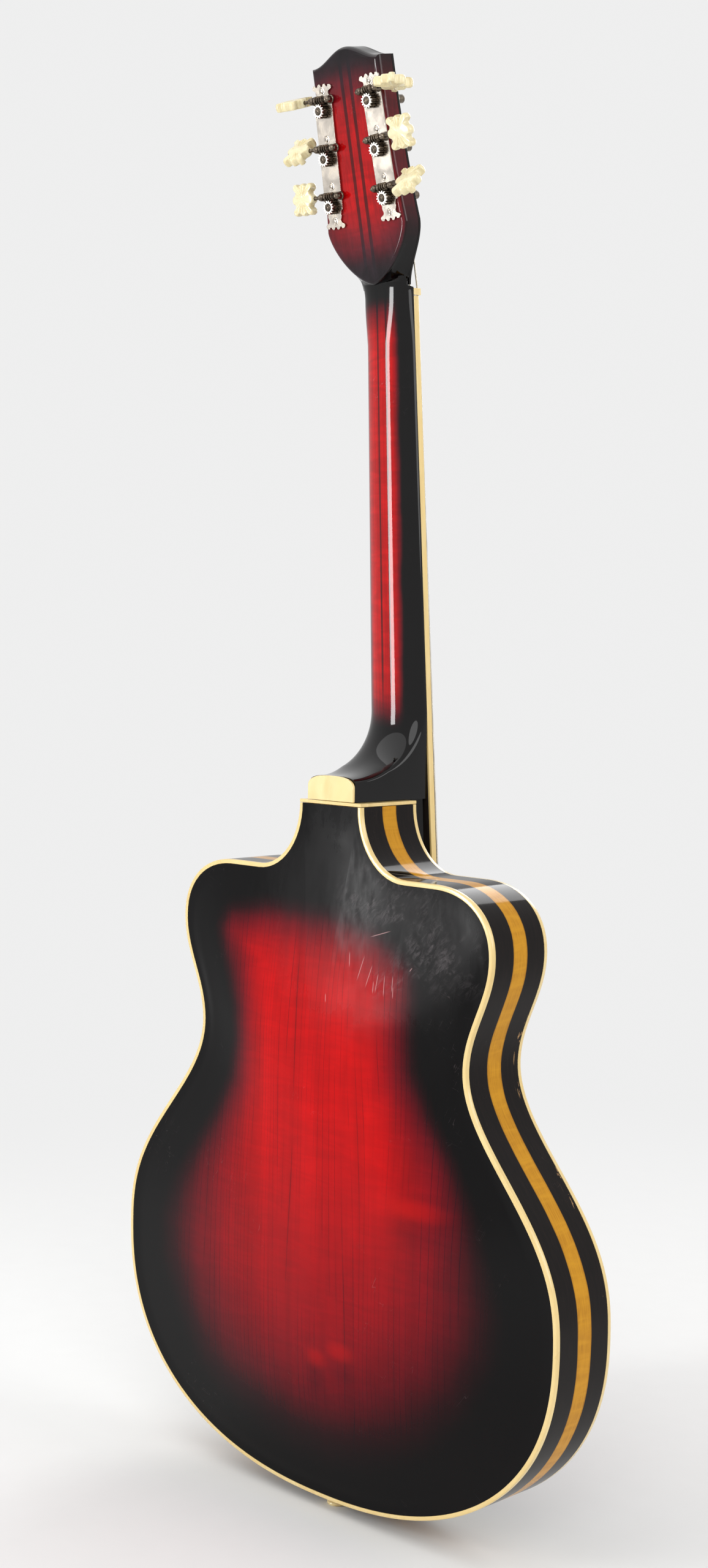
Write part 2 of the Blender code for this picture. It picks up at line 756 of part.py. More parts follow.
def drill_post_holes(obj, head_frame):
    """The six holes that the string posts pass through."""
    name = f"post holes in {obj.name}"
    bm = bmesh.new()
    for side in (-1, 1):
        for index in range(3):
            spot = tuner_spot(side, index)
            low = spot @ Vector((0, 0, -HEAD_THICK - 0.01))
            high = spot @ Vector((0, 0, 0.01))
            add_cylinder(bm, POST_RADIUS + SEAM, low, high, 10)
    combine(obj, "DIFFERENCE", place(name, mesh_of(bm, name), head_frame))


def neck(body, neck_frame, head_frame):
    sections = shaft_sections() + heel_sections()
    wood = place("neck", loft("neck", sections), body, "neck_lacquer")
    combine(wood, "UNION", place("neck extension", neck_extension(), neck_frame))
    front = [(x, y, VENEER_THICK + SEAM) for x, y in whole(head_outline(False))]
    back = [(x, y, HEAD_THICK) for x, y in whole(head_outline(True))]
    combine(wood, "UNION", place("peghead block", loft("peghead block", [front, back]), head_frame))
    drill_post_holes(wood, head_frame)


def heel_cap(parent):
    """The D-shaped cap over the heel's flat end."""
    base = BODY_LENGTH + SEAM
    crest = BODY_LENGTH + HEEL_OUT - HEEL_CREST
    points = []
    power = 2.6
    for i in range(NECK_SIDES + 1):
        b = math.pi * i / NECK_SIDES
        x = -HEEL_HALF * math.copysign(abs(math.cos(b)) ** (2 / power), math.cos(b))
        z = crest - HEEL_ROUND * (1 - math.sin(b) ** (2 / power))
        if i in (0, NECK_SIDES):
            z = base
        points.append((x, z))
    mesh = extrude_outline("heel_cap", points, -HEEL_CAP_THICK, 0.0)
    place("heel_cap", mesh, parent, "ivoroid")


def head_veneer(parent):
    """Thin facing on the front of the peghead."""
    start = NUT_THICK + 0.0022
    points = [(x, max(y, start)) for x, y in whole(head_outline(False))]
    bm = bmesh.new()
    rings = [[bm.verts.new((x, y, z)) for x, y in points] for z in (0.0, VENEER_THICK)]
    count = len(points)
    for i in range(count):
        j = (i + 1) % count
        bm.faces.new((rings[0][i], rings[0][j], rings[1][j], rings[1][i]))
    bm.faces.new(rings[0][::-1])
    bm.faces.new(rings[1])
    bmesh.ops.remove_doubles(bm, verts=bm.verts, dist=2e-4)
    veneer = place("head_veneer", mesh_of(bm, "head_veneer"), parent, "black_lacquer")
    drill_post_holes(veneer, parent)


def fretboard(parent):
    """Cambered board with its frets pressed in. The binding strips run along its edges."""
    steps = 4
    ends = (BOARD_END, NUT_FROM_JOINT - SEAM)
    sections = []
    for along in ends:
        half = board_half(along)
        inner = half - BOARD_BINDING - SEAM
        arc = [-inner + 2 * inner * i / steps for i in range(steps + 1)]
        top = [(x, -BOARD_EDGE - board_crown(x, half), along) for x in arc]
        sections.append([(inner, -SEAM, along), (-inner, -SEAM, along)] + top)
    board = place("fretboard", loft("fretboard", sections), parent, "ebonised_wood")
    bm = bmesh.new()
    for number in range(FRET_COUNT + 1):
        along = NUT_FROM_JOINT - fret_from_nut(number) - (0.0022 if number == 0 else 0.0)
        half = board_half(along)
        inner = half - BOARD_BINDING - SEAM - 0.0004
        arc = [-inner + 2 * inner * i / steps for i in range(steps + 1)]
        rings = []
        for x in arc:
            base = -BOARD_EDGE - board_crown(x, half)
            rings.append(
                [
                    (x, base + 0.0008, along - FRET_WIDTH / 2),
                    (x, base - FRET_CROWN, along),
                    (x, base + 0.0008, along + FRET_WIDTH / 2),
                ]
            )
        bar = loft("fret", rings)
        bm.from_mesh(bar)
        bpy.data.meshes.remove(bar)
    combine(board, "UNION", place("frets", mesh_of(bm, "frets"), parent))
    for side, label in ((-1, "bass"), (1, "treble")):
        sections = []
        for along in ends:
            half = board_half(along)
            inner = half - BOARD_BINDING
            sections.append(
                [
                    (side * inner, -SEAM, along),
                    (side * half, -SEAM, along),
                    (side * half, -BOARD_EDGE, along),
                    (side * inner, -BOARD_EDGE - board_crown(inner, half), along),
                ]
            )
        name = f"board_binding_{label}"
        place(name, loft(name, sections), parent, "ivoroid")


def string_x(number, spread):
    """Across the neck, first string on the treble side."""
    return spread / 2 - spread * (number - 1) / 5


def nut_height():
    return BOARD_EDGE + board_crown(0, NUT_HALF) + NUT_RISE


def nut(parent):
    """The nut, cut with a slot under each string."""
    steps = 6
    low = NUT_FROM_JOINT + SEAM
    sections = []
    for along in (low, low + NUT_THICK - SEAM):
        arc = [-NUT_HALF + 2 * NUT_HALF * i / steps for i in range(steps + 1)]
        crown = nut_height() - board_crown(0, NUT_HALF)
        top = [(x, -crown - board_crown(x, NUT_HALF) - 0.0006, along) for x in arc]
        sections.append([(NUT_HALF, -SEAM, along), (-NUT_HALF, -SEAM, along)] + top)
    piece = place("nut", loft("nut", sections), parent, "cream_plastic")
    bm = bmesh.new()
    for number in range(1, 7):
        x = string_x(number, NUT_SPREAD)
        radius = STRING_RADII[number - 1]
        bottom = -nut_point_height(number) + radius + SEAM
        width = radius + SEAM
        add_box(bm, (x - width, -0.02, low - 0.002), (x + width, bottom, low + NUT_THICK + 0.002))
    combine(piece, "DIFFERENCE", place("nut slots", mesh_of(bm, "nut slots"), parent))


def nut_point_height(number):
    """Height of a string's centre over the board's underside, in its nut slot."""
    return nut_height() + STRING_RADII[number - 1]


def saddle_point_height(number):
    radius = STRING_RADII[number - 1]
    x = string_x(number, SADDLE_SPREAD)
    camber = board_crown(x, SADDLE_SPREAD / 2 + 0.002)
    return BOARD_EDGE + camber + STRING_RISE_SADDLE + radius


def tuner_spot(side, index):
    """A tuner post's frame in the peghead's. side +1 is the bass side, index 0 is next to the nut."""
    base = Matrix.Translation((side * PLATE_X, PLATE_CENTRE, HEAD_THICK))
    slant = Matrix.Rotation(side * PLATE_SLANT, 4, "Z")
    return base @ slant @ Matrix.Translation((0, TUNER_SHIFT + (index - 1) * TUNER_SPACING, 0))


def tuner_of(number):
    """Side and index of the tuner that carries a string."""
    return (1, 6 - number) if number > 3 else (-1, number - 1)


def plate_outline():
    """Tuner plate seen from behind: a straight strip with a scalloped fan at each end."""
    half = TUNER_PLATE_WIDTH / 2
    end = TUNER_PLATE_LENGTH / 2
    corner = [
        (half, end - 0.0150),
        (half, end - 0.0098),
        (half - 0.0026, end - 0.0076),
        (half - 0.0022, end - 0.0052),
        (half + 0.0002, end - 0.0034),
        (half + 0.0004, end - 0.0004),
        (half - 0.0022, end),
        (half - 0.0036, end - 0.0022),
        (half - 0.0056, end - 0.0008),
        (half - 0.0070, end - 0.0024),
    ]
    upper = corner + [(-x, y) for x, y in corner[::-1]]
    return upper + [(-x, -y) for x, y in upper]


def bearing_frame(index):
    """Centre of a worm, in its plate's frame."""
    rise = SEAM + TUNER_PLATE_THICK + SEAM + GEAR_FACE / 2
    along = TUNER_SHIFT + (index - 1) * TUNER_SPACING + WORM_MESH
    return Vector((0, along, rise))


def tuner_plate(name, parent):
    """Plate with three pairs of bearing posts. The pieces are welded into one body."""
    low = SEAM
    high = SEAM + TUNER_PLATE_THICK
    mesh = extrude_outline(name, plate_outline(), low, high, "z")
    obj = place(name, mesh, parent, "nickel")
    bm = bmesh.new()
    for index in range(3):
        centre = bearing_frame(index)
        for out in (-1, 1):
            foot = low + TUNER_PLATE_THICK / 2
            top = centre.z + 0.0032
            profile = [
                (foot, BEARING_RADIUS),
                (top - 0.0014, BEARING_RADIUS),
                (top - 0.0004, BEARING_RADIUS * 0.8),
                (top, BEARING_RADIUS * 0.4),
            ]
            add_spindle(bm, Matrix.Translation((out * BEARING_OUT, centre.y, 0)), profile, 8)
    combine(obj, "UNION", place(name + " bearings", mesh_of(bm, name + " bearings"), parent))
    bm = bmesh.new()
    for index in range(3):
        centre = bearing_frame(index)
        reach = Vector((BEARING_OUT + BEARING_RADIUS + 0.002, 0, 0))
        add_cylinder(bm, SHAFT_RADIUS + RUNNING, centre - reach, centre + reach, 12)
        post_y = TUNER_SHIFT + (index - 1) * TUNER_SPACING
        add_cylinder(bm, POST_RADIUS + SEAM, (0, post_y, -0.002), (0, post_y, high + 0.002), 10)
    combine(obj, "DIFFERENCE", place(name + " bores", mesh_of(bm, name + " bores"), parent))


def gear_mesh():
    """Spur wheel round local Z, with a tooth gap on local +Y, where the worm runs."""
    points = []
    for tooth in range(GEAR_TEETH):
        middle = math.pi / 2 + 2 * math.pi * (tooth + 0.5) / GEAR_TEETH
        pitch = 2 * math.pi / GEAR_TEETH
        for radius, share in ((GEAR_ROOT, -0.27), (GEAR_TIP, -0.14), (GEAR_TIP, 0.14), (GEAR_ROOT, 0.27)):
            angle = middle + share * pitch
            points.append((radius * math.cos(angle), radius * math.sin(angle)))
    return extrude_outline("gear", points, -GEAR_FACE / 2, GEAR_FACE / 2, "z")


def worm_mesh():
    """Thread round local X, with a crest on local -Y at the middle, where the gear runs."""
    steps = 8
    turns = WORM_LENGTH / WORM_LEAD - 0.4
    count = round(turns * steps)
    root = WORM_CORE - 0.0004
    bm = bmesh.new()
    rings = []
    for i in range(count + 1):
        angle = 2 * math.pi * (i - count / 2) / steps
        shift = WORM_LEAD * (i - count / 2) / steps
        fade = min(1.0, 0.35 + i / 4, 0.35 + (count - i) / 4)
        outer = WORM_CORE + (WORM_RADIUS - WORM_CORE) * fade
        ring = []
        for radius, side in ((root, -0.00046), (outer, -0.00018), (outer, 0.00018), (root, 0.00046)):
            ring.append(bm.verts.new((shift + side, -radius * math.cos(angle), -radius * math.sin(angle))))
        rings.append(ring)
    for low, high in zip(rings, rings[1:]):
        for i in range(4):
            j = (i + 1) % 4
            bm.faces.new((low[i], low[j], high[j], high[i]))
    bm.faces.new(rings[0][::-1])
    bm.faces.new(rings[-1])
    return mesh_of(bm, "worm thread")


def worm_shaft_mesh():
    """Shaft with the worm's core and a collar each side of it."""
    end_in = -BEARING_OUT - BEARING_RADIUS - 0.0006
    end_out = BUTTON_OUT + 0.004
    core = WORM_LENGTH / 2
    bm = bmesh.new()
    profile = [
        (end_in, SHAFT_RADIUS),
        (-core, SHAFT_RADIUS),
        (-core, WORM_CORE),
        (core, WORM_CORE),
        (core, SHAFT_RADIUS),
        (end_out, SHAFT_RADIUS),
    ]
    add_spindle(bm, Matrix.Rotation(math.pi / 2, 4, "Y"), profile, 8)
    return mesh_of(bm, "worm shaft")


def button_outline():
    """Fancy button: three lobes at each end and a round notch beside each corner."""
    u = BUTTON_LENGTH / 2
    v = BUTTON_TALL / 2
    quarter = [
        (1.00, 0.10),
        (0.97, 0.22),
        (0.78, 0.29),
        (0.66, 0.42),
        (0.70, 0.58),
        (0.86, 0.70),
        (0.92, 0.82),
        (0.78, 0.91),
        (0.54, 0.90),
        (0.36, 0.86),
        (0.24, 0.97),
    ]
    corner = [(u * a, v * b) for a, b in quarter]
    upper = corner + [(0.0, v)] + [(-x, y) for x, y in corner[::-1]]
    return upper + [(-x, -y) for x, y in upper]


def button_mesh():
    """Button in its worm's frame, round local X, thinned towards its lobes."""
    outline = button_outline()
    levels = ((-1.0, 0.90), (0.0, 1.0), (1.0, 0.90))
    half = BUTTON_THICK / 2
    sections = [
        [(BUTTON_OUT + x * grow, y * grow, half * level) for x, y in outline] for level, grow in levels
    ]
    return loft("button", sections)


def post_profile(head_top):
    """String post from its slotted end over the gear down to the capstan in front of the head."""
    gear_top = SEAM + TUNER_PLATE_THICK + SEAM + GEAR_FACE
    gear_low = SEAM + TUNER_PLATE_THICK + SEAM
    front = -HEAD_THICK
    return [
        (0.0, head_top),
        (POST_STUB + 0.0006, head_top),
        (POST_STUB + 0.0008, gear_top + SEAM),
        (POST_STUB, gear_top + SEAM),
        (POST_STUB, gear_low - SEAM),
        (POST_RADIUS, gear_low - SEAM),
        (POST_RADIUS, front - POST_OUT + 0.0020),
        (POST_RADIUS - 0.0010, front - POST_OUT),
        (0.0, front - POST_OUT),
    ]


def tuners(head_frame):
    shared_gear = gear_mesh()
    shared_thread = worm_mesh()
    shared_shaft = worm_shaft_mesh()
    shared_button = button_mesh()
    for side, label in ((1, "bass"), (-1, "treble")):
        base = Matrix.Translation((side * PLATE_X, PLATE_CENTRE, HEAD_THICK))
        frame = datum(f"{label} plate datum", head_frame, base @ Matrix.Rotation(side * PLATE_SLANT, 4, "Z"))
        tuner_plate(f"tuner_plate_{label}", frame)
    gear_low = SEAM + TUNER_PLATE_THICK + SEAM
    for number in range(1, 7):
        side, index = tuner_of(number)
        spot = tuner_spot(side, index)
        frame = datum(f"tuner {number} datum", head_frame, spot)
        middle = Matrix.Translation((0, 0, gear_low + GEAR_FACE / 2))
        gear = place(f"gear_{number}", shared_gear.copy(), frame, "nickel", middle)
        bm = bmesh.new()
        add_cylinder(bm, POST_STUB + SEAM, (0, 0, -0.002), (0, 0, gear_low + GEAR_FACE + 0.002), 10)
        combine(gear, "DIFFERENCE", place(f"gear bore {number}", mesh_of(bm, "gear bore"), frame))
        head_top = gear_low + GEAR_FACE + SEAM + 0.0007
        post = turned(f"string_post_{number}", post_profile(head_top), 10, frame, "aged_nickel")
        bm = bmesh.new()
        add_box(bm, (-0.004, -0.0003, head_top - 0.0004), (0.004, 0.0003, head_top + 0.001))
        combine(post, "DIFFERENCE", place(f"post slot {number}", mesh_of(bm, "post slot"), frame))
        across = Matrix.Identity(4) if side > 0 else Matrix.Rotation(math.pi, 4, "Y")
        worm_spot = Matrix.Translation((0, WORM_MESH, 0)) @ middle @ across
        worm_frame = datum(f"worm {number} datum", frame, worm_spot)
        shaft = place(f"worm_{number}", shared_shaft.copy(), worm_frame, "aged_nickel")
        combine(shaft, "UNION", place(f"worm thread {number}", shared_thread, worm_frame))
        turn = Matrix.Rotation(math.radians(BUTTON_TURNS[number - 1]), 4, "X")
        button = place(f"button_{number}", shared_button.copy(), worm_frame, "cream_plastic", turn)
        bm = bmesh.new()
        start = BUTTON_OUT - BUTTON_LENGTH / 2 - 0.002
        end = BUTTON_OUT + 0.004 + SEAM
        add_cylinder(bm, SHAFT_RADIUS + SEAM, (start, 0, 0), (end, 0, 0), 12)
        combine(button, "DIFFERENCE", place(f"button bore {number}", mesh_of(bm, "button bore"), worm_frame))


def string_route(number, to_head):
    """Points of one string: tailpiece, saddle, nut, then turns round its post. Also where the turns start."""
    frame = neck_matrix()
    radius = STRING_RADII[number - 1]
    x_nut = string_x(number, NUT_SPREAD)
    x_saddle = string_x(number, SADDLE_SPREAD)
    nut_y = -nut_point_height(number)
    saddle = frame @ Vector((x_saddle, -saddle_point_height(number), NUT_FROM_JOINT - SCALE_LENGTH))
    tail_y, tail_z = tail_place()
    anchor = Vector((x_saddle * 0.96, tail_y - TAIL_BAR - radius - SEAM, tail_z + 0.0005))
    behind = (anchor - saddle).normalized() * 0.003
    points = [
        anchor - Vector((0, 0, TAIL_BAR * 0.9)),
        anchor,
        saddle + behind + Vector((0, 0.00018, 0)),
        saddle,
        frame @ Vector((x_nut, nut_y, NUT_FROM_JOINT + 0.0006)),
        frame @ Vector((x_nut, nut_y + 0.0001, NUT_FROM_JOINT + NUT_THICK)),
    ]
    side, index = tuner_of(number)
    centre = tuner_spot(side, index).translation
    wrap = POST_RADIUS + SEAM + radius
    start = to_head.inverted() @ points[-1]
    to_post = Vector((centre.x - start.x, centre.y - start.y))
    lead = math.atan2(to_post.y, to_post.x)
    first = lead + side * (math.asin(wrap / to_post.length) + math.pi / 2)
    pitch = 2 * radius + WIND_GAP
    straight = len(points)
    for i in range(WIND_TURNS * LOOP_POINTS + 1):
        angle = first - side * 2 * math.pi * i / LOOP_POINTS
        depth = -WIND_ENTRY + pitch * i / LOOP_POINTS
        local = Vector((centre.x + wrap * math.cos(angle), centre.y + wrap * math.sin(angle), depth))
        points.append(to_head @ local)
    return points, straight


def least_gap(points, radius):
    """Smallest free space between the turns of a winding, measured on points along it."""
    line = np.array([tuple(p) for p in points])
    fine = []
    for a, b in zip(line, line[1:]):
        for t in np.linspace(0, 1, 4, endpoint=False):
            fine.append(a + (b - a) * t)
    fine = np.array(fine)
    apart = LOOP_POINTS * 4 // 2
    gaps = np.linalg.norm(fine[:, None] - fine[None, :], axis=2)
    rows, columns = np.indices(gaps.shape)
    gaps[np.abs(rows - columns) < apart] = np.inf
    return gaps.min() - 2 * radius


def strings(parent):
    to_head = neck_matrix() @ head_matrix()
    for number in range(1, 7):
        radius = STRING_RADII[number - 1]
        points, straight = string_route(number, to_head)
        tube(f"string_{number}", points, radius, 0, parent, "string_steel")
        gap = least_gap(points[straight:], radius)
        print(f"string {number} winding: least gap {gap * 1000:.2f} mm")


def bridge_level():
    """Body height of the saddle line and the y of the strings' underside there."""
    frame = neck_matrix()
    along = NUT_FROM_JOINT - SCALE_LENGTH
    low = BOARD_EDGE + STRING_RISE_SADDLE
    return frame @ Vector((0, -low, along))


def saddle_top(x, offset, level_y):
    """The y of the saddle's upper surface at a distance off its crest line."""
    camber = board_crown(min(abs(x), SADDLE_SPREAD / 2), SADDLE_SPREAD / 2 + 0.002)
    droop = 0.0030 * smooth_rise((abs(x) - SADDLE_SPREAD / 2 - 0.003) / 0.018)
    share = max(abs(offset) / SADDLE_THICK - SADDLE_CREST / 2, 0.0) / (0.5 - SADDLE_CREST / 2)
    return level_y + SEAM - camber + droop + SADDLE_FALL * share


def bridge_base(parent, outer, level, base_top):
    """Foot of the bridge, its underside fitted to the carved top on two long feet."""
    crown = outer(0, level.z)
    stations = 16
    sections = []
    for edge in (level.z - BASE_THICK / 2, level.z, level.z + BASE_THICK / 2):
        lower = []
        upper = []
        for i in range(stations + 1):
            x = -BASE_HALF + 2 * BASE_HALF * i / stations
            surface = outer(x, edge) - SEAM
            share = abs(x) / BASE_HALF
            tall = base_top + (crown - base_top - 0.0028) * smooth_rise((share - 0.62) / 0.38)
            relief = 0.0030 * smooth_rise(1 - share * 2.6)
            lower.append((x, surface - relief, edge))
            upper.append((x, min(tall, surface - 0.0024), edge))
        sections.append(lower + upper[::-1])
    return place("bridge_base", loft("bridge_base", sections), parent, "ebonised_wood")


def bridge_saddle(parent, level, saddle_low):
    """Saddle with a rounded ridge under the strings, standing on the two thumbwheels."""
    steps = 12
    sections = []
    for edge in (-0.5, -SADDLE_CREST / 2, SADDLE_CREST / 2, 0.5):
        offset = edge * SADDLE_THICK
        ring = [(SADDLE_HALF, saddle_low, level.z + offset), (-SADDLE_HALF, saddle_low, level.z + offset)]
        for i in range(steps + 1):
            x = -SADDLE_HALF + 2 * SADDLE_HALF * i / steps
            ring.append((x, saddle_top(x, offset, level.y), level.z + offset))
        sections.append(ring)
    return place("bridge_saddle", loft("bridge_saddle", sections), parent, "ebonised_wood")


def thumbwheel(label, frame):
    """Knurled adjusting wheel round the stud, its top face on local z 0."""
    teeth = 20
    outline = []
    for i in range(teeth * 2):
        a = math.pi * i / teeth
        radius = WHEEL_RADIUS - (0.0006 if i % 2 else 0.0)
        outline.append((radius * math.cos(a), radius * math.sin(a)))
    name = f"thumbwheel_{label}"
    wheel = place(name, extrude_outline(name, outline, -WHEEL_THICK, 0.0, "z"), frame, "nickel")
    bm = bmesh.new()
    add_cylinder(bm, STUD_RADIUS + SEAM, (0, 0, -0.01), (0, 0, 0.01), 12)
    combine(wheel, "DIFFERENCE", place(f"wheel bore {label}", mesh_of(bm, "wheel bore"), frame))


def bridge(parent, outer):
    """Floating bridge: carved base, two studs with thumbwheels and a saddle that they raise."""
    level = bridge_level()
    crown = outer(0, level.z)
    base_top = crown - BASE_SHARE * (crown - level.y)
    wheel_top = base_top - WHEEL_TRAVEL - SEAM - WHEEL_THICK
    saddle_low = wheel_top - SEAM
    bore = STUD_RADIUS + SEAM
    bore_top = saddle_top(STUD_X + bore, bore, level.y) + BORE_ROOF
    stud_top = bore_top + WHEEL_TRAVEL + SEAM
    stud_foot = base_top + 0.0062
    base = bridge_base(parent, outer, level, base_top)
    saddle = bridge_saddle(parent, level, saddle_low)
    in_base = bmesh.new()
    in_saddle = bmesh.new()
    for side, label in ((-1, "bass"), (1, "treble")):
        x = side * STUD_X
        add_cylinder(in_base, bore, (x, stud_foot, level.z), (x, base_top - 0.01, level.z))
        add_cylinder(in_saddle, bore, (x, saddle_low + 0.002, level.z), (x, bore_top, level.z))
        bm = bmesh.new()
        add_cylinder(bm, STUD_RADIUS, (x, stud_foot - SEAM, level.z), (x, stud_top, level.z))
        place(f"bridge_stud_{label}", mesh_of(bm, f"bridge_stud_{label}"), parent, "nickel")
        upright = Matrix.Translation((x, wheel_top, level.z)) @ Matrix.Rotation(math.radians(90), 4, "X")
        thumbwheel(label, datum(f"wheel {label} datum", parent, upright))
    combine(base, "DIFFERENCE", place("stud bores in base", mesh_of(in_base, "stud bores in base"), parent))
    name = "stud bores in saddle"
    combine(saddle, "DIFFERENCE", place(name, mesh_of(in_saddle, name), parent))


def tail_place():
    """The y and z of the tailpiece's string bar."""
    return -RIM_DEPTH - TAIL_RISE, TAIL_Z


def hinge_place():
    """The y and z of the tailpiece's hinge, just off the top's bottom edge."""
    return -RIM_DEPTH - HINGE_RADIUS - 0.0012, 0.0045


def rod_path(side):
    """Side rod of the trapeze, from the string bar in and down to the hinge, clear of the arch."""
    bar_y, bar_z = tail_place()
    hinge_y, hinge_z = hinge_place()
    x_bar = side * (TAIL_HALF - 0.003)
    x_hinge = side * HINGE_HALF * 0.42
    steps = 10
    points = []
    for i in range(steps + 1):
        t = i / steps
        x = x_bar + (x_hinge - x_bar) * smooth_rise(t / 0.94)
        y = bar_y + (hinge_y - bar_y) * smooth_rise((t - 0.22) / 0.78)
        points.append((x, y, bar_z + (hinge_z - bar_z) * t))
    return points


def tailpiece(parent):
    """Trapeze tailpiece in one piece: string bar, two rods and a hinge tube."""
    bar_y, bar_z = tail_place()
    hinge_y, hinge_z = hinge_place()
    bm = bmesh.new()
    add_cylinder(bm, TAIL_BAR, (-TAIL_HALF, bar_y, bar_z), (TAIL_HALF, bar_y, bar_z), 14)
    bar = place("tailpiece", mesh_of(bm, "tailpiece"), parent, "nickel")
    for side, label in ((-1, "bass"), (1, "treble")):
        combine(bar, "UNION", tube(f"tail rod {label}", rod_path(side), TAIL_ROD, 1, parent, None))
    bm = bmesh.new()
    half = HINGE_HALF * HINGE_SHARE
    add_cylinder(bm, HINGE_RADIUS, (-half, hinge_y, hinge_z), (half, hinge_y, hinge_z), 12)
    combine(bar, "UNION", place("tail hinge tube", mesh_of(bm, "tail hinge tube"), parent))
    bm = bmesh.new()
    bore = HINGE_RADIUS * 0.5 + RUNNING
    add_cylinder(bm, bore, (-HINGE_HALF * 2, hinge_y, hinge_z), (HINGE_HALF * 2, hinge_y, hinge_z), 12)
    combine(bar, "DIFFERENCE", place("tail hinge bore", mesh_of(bm, "tail hinge bore"), parent))


def tailpiece_bracket(parent):
    """Bracket held under the end pin, with two ears and the rod that the tailpiece hinges on."""
    hinge_y, hinge_z = hinge_place()
    outer = HINGE_HALF
    inner = HINGE_HALF * HINGE_SHARE + SEAM
    ear = HINGE_RADIUS * 0.7
    low = -SEAM - BRACKET_THICK
    bm = bmesh.new()
    add_box(bm, (-outer, hinge_y, low), (outer, -PIN_INSET + 0.0105, -SEAM))
    bracket = place("tailpiece_bracket", mesh_of(bm, "tailpiece_bracket"), parent, "nickel")
    bm = bmesh.new()
    add_box(bm, (-outer, hinge_y - ear, low), (-inner, hinge_y + ear, hinge_z + ear))
    add_box(bm, (inner, hinge_y - ear, low), (outer, hinge_y + ear, hinge_z + ear))
    combine(bracket, "UNION", place("bracket ears", mesh_of(bm, "bracket ears"), parent))
    bm = bmesh.new()
    reach = outer - 0.0004
    add_cylinder(bm, HINGE_RADIUS * 0.5, (-reach, hinge_y, hinge_z), (reach, hinge_y, hinge_z), 12)
    combine(bracket, "UNION", place("bracket hinge rod", mesh_of(bm, "bracket hinge rod"), parent))
    bm = bmesh.new()
    add_cylinder(bm, PIN_SHANK + SEAM, (0, -PIN_INSET, -0.02), (0, -PIN_INSET, 0.01))
    combine(bracket, "DIFFERENCE", place("bracket pin hole", mesh_of(bm, "bracket pin hole"), parent))


def end_pin(parent):
    """Turned end pin, its shank through the bracket and the rim into the end block."""
    seat = -SEAM - BRACKET_THICK - SEAM
    profile = [
        (0.0, END_BLOCK_THICK - 0.002),
        (PIN_SHANK - 0.0006, END_BLOCK_THICK - 0.002),
        (PIN_SHANK, END_BLOCK_THICK - 0.005),
        (PIN_SHANK, seat),
        (PIN_HEAD - 0.0006, seat),
        (PIN_HEAD - 0.0010, seat - 0.0012),
        (PIN_NECK, seat - 0.0030),
        (PIN_NECK + 0.0004, seat - 0.0042),
        (PIN_HEAD - 0.0004, -PIN_STAND + 0.0022),
        (PIN_HEAD, -PIN_STAND + 0.0012),
        (PIN_HEAD - 0.0014, -PIN_STAND),
        (0.0, -PIN_STAND),
    ]
    matrix = Matrix.Translation((0, -PIN_INSET, 0))
    turned("end_pin", profile, 14, parent, "cream_plastic", matrix)


def build():
    start_scene()
    make_materials()
    body = datum("body datum", None, Matrix.Translation((0, PIN_INSET, PIN_STAND)))
    neck_frame = datum("neck datum", body, neck_matrix())
    head_frame = datum("peghead datum", neck_frame, head_matrix())
    outer, inner = body_shell(body)
    body_blocks(body)
    tone_bars(body, inner)
    neck(body, neck_frame, head_frame)
    heel_cap(body)
    head_veneer(head_frame)
    fretboard(neck_frame)
    nut(neck_frame)
    tuners(head_frame)
    strings(body)
    bridge(body, outer)
    tailpiece(body)
    tailpiece_bracket(body)
    end_pin(body)


build()
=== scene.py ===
"""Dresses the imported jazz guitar: fine versions of its carved, turned and wound pieces, lacquer and metal
looks, a pale floor and soft studio light."""

import math

import bmesh
import bpy
import numpy as np
from mathutils import Matrix, Vector
from mathutils.bvhtree import BVHTree


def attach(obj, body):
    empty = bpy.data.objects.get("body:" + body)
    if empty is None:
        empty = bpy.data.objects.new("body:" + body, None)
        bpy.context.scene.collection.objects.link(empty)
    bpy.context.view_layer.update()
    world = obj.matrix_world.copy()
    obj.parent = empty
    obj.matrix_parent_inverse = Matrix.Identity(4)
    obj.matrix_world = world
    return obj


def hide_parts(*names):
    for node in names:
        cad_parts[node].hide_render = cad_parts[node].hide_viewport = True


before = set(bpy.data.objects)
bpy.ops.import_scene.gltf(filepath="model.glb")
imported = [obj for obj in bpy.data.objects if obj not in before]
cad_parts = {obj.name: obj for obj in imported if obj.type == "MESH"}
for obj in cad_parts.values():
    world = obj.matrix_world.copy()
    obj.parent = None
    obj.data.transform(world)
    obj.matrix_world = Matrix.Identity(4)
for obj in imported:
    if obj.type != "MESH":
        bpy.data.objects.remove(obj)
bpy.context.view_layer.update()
GUITAR = "guitar"

SEAM = 0.0003
PIN_INSET = 0.0180
PIN_STAND = 0.0095

# Body
BODY_LENGTH = 0.500
LOWER_HALF = 0.2150
LOWER_Z = 0.158
LOWER_POWER = 2 / 2.28
WAIST_HALF = 0.1323
WAIST_Z = 0.328
UPPER_HALF = 0.1538
UPPER_Z = 0.4046
SHOULDER_X = 0.100
SHOULDER_Z = 0.4505
SHOULDER_POWER = 2 / 2.2
TAB_HALF = 0.0305
SCOOP_WIDTH = 0.0415
RIM_DEPTH = 0.0562
RIM_THICK = 0.0022
PLATE_THICK = 0.0030
BINDING_HEIGHT = 0.0033
BINDING_WIDTH = 0.0030
BINDING_ROUND = 0.0007
SPINE_Z = 0.200
SPINE_SHARE = 0.35
CAP_THICK = 0.0024
OUTLINE_POINTS = 151  # on each half
PLATE_RINGS = 34
FIRST_RING = 0.035  # share of the way from the edge to the spine
RING_POWER = 1.1

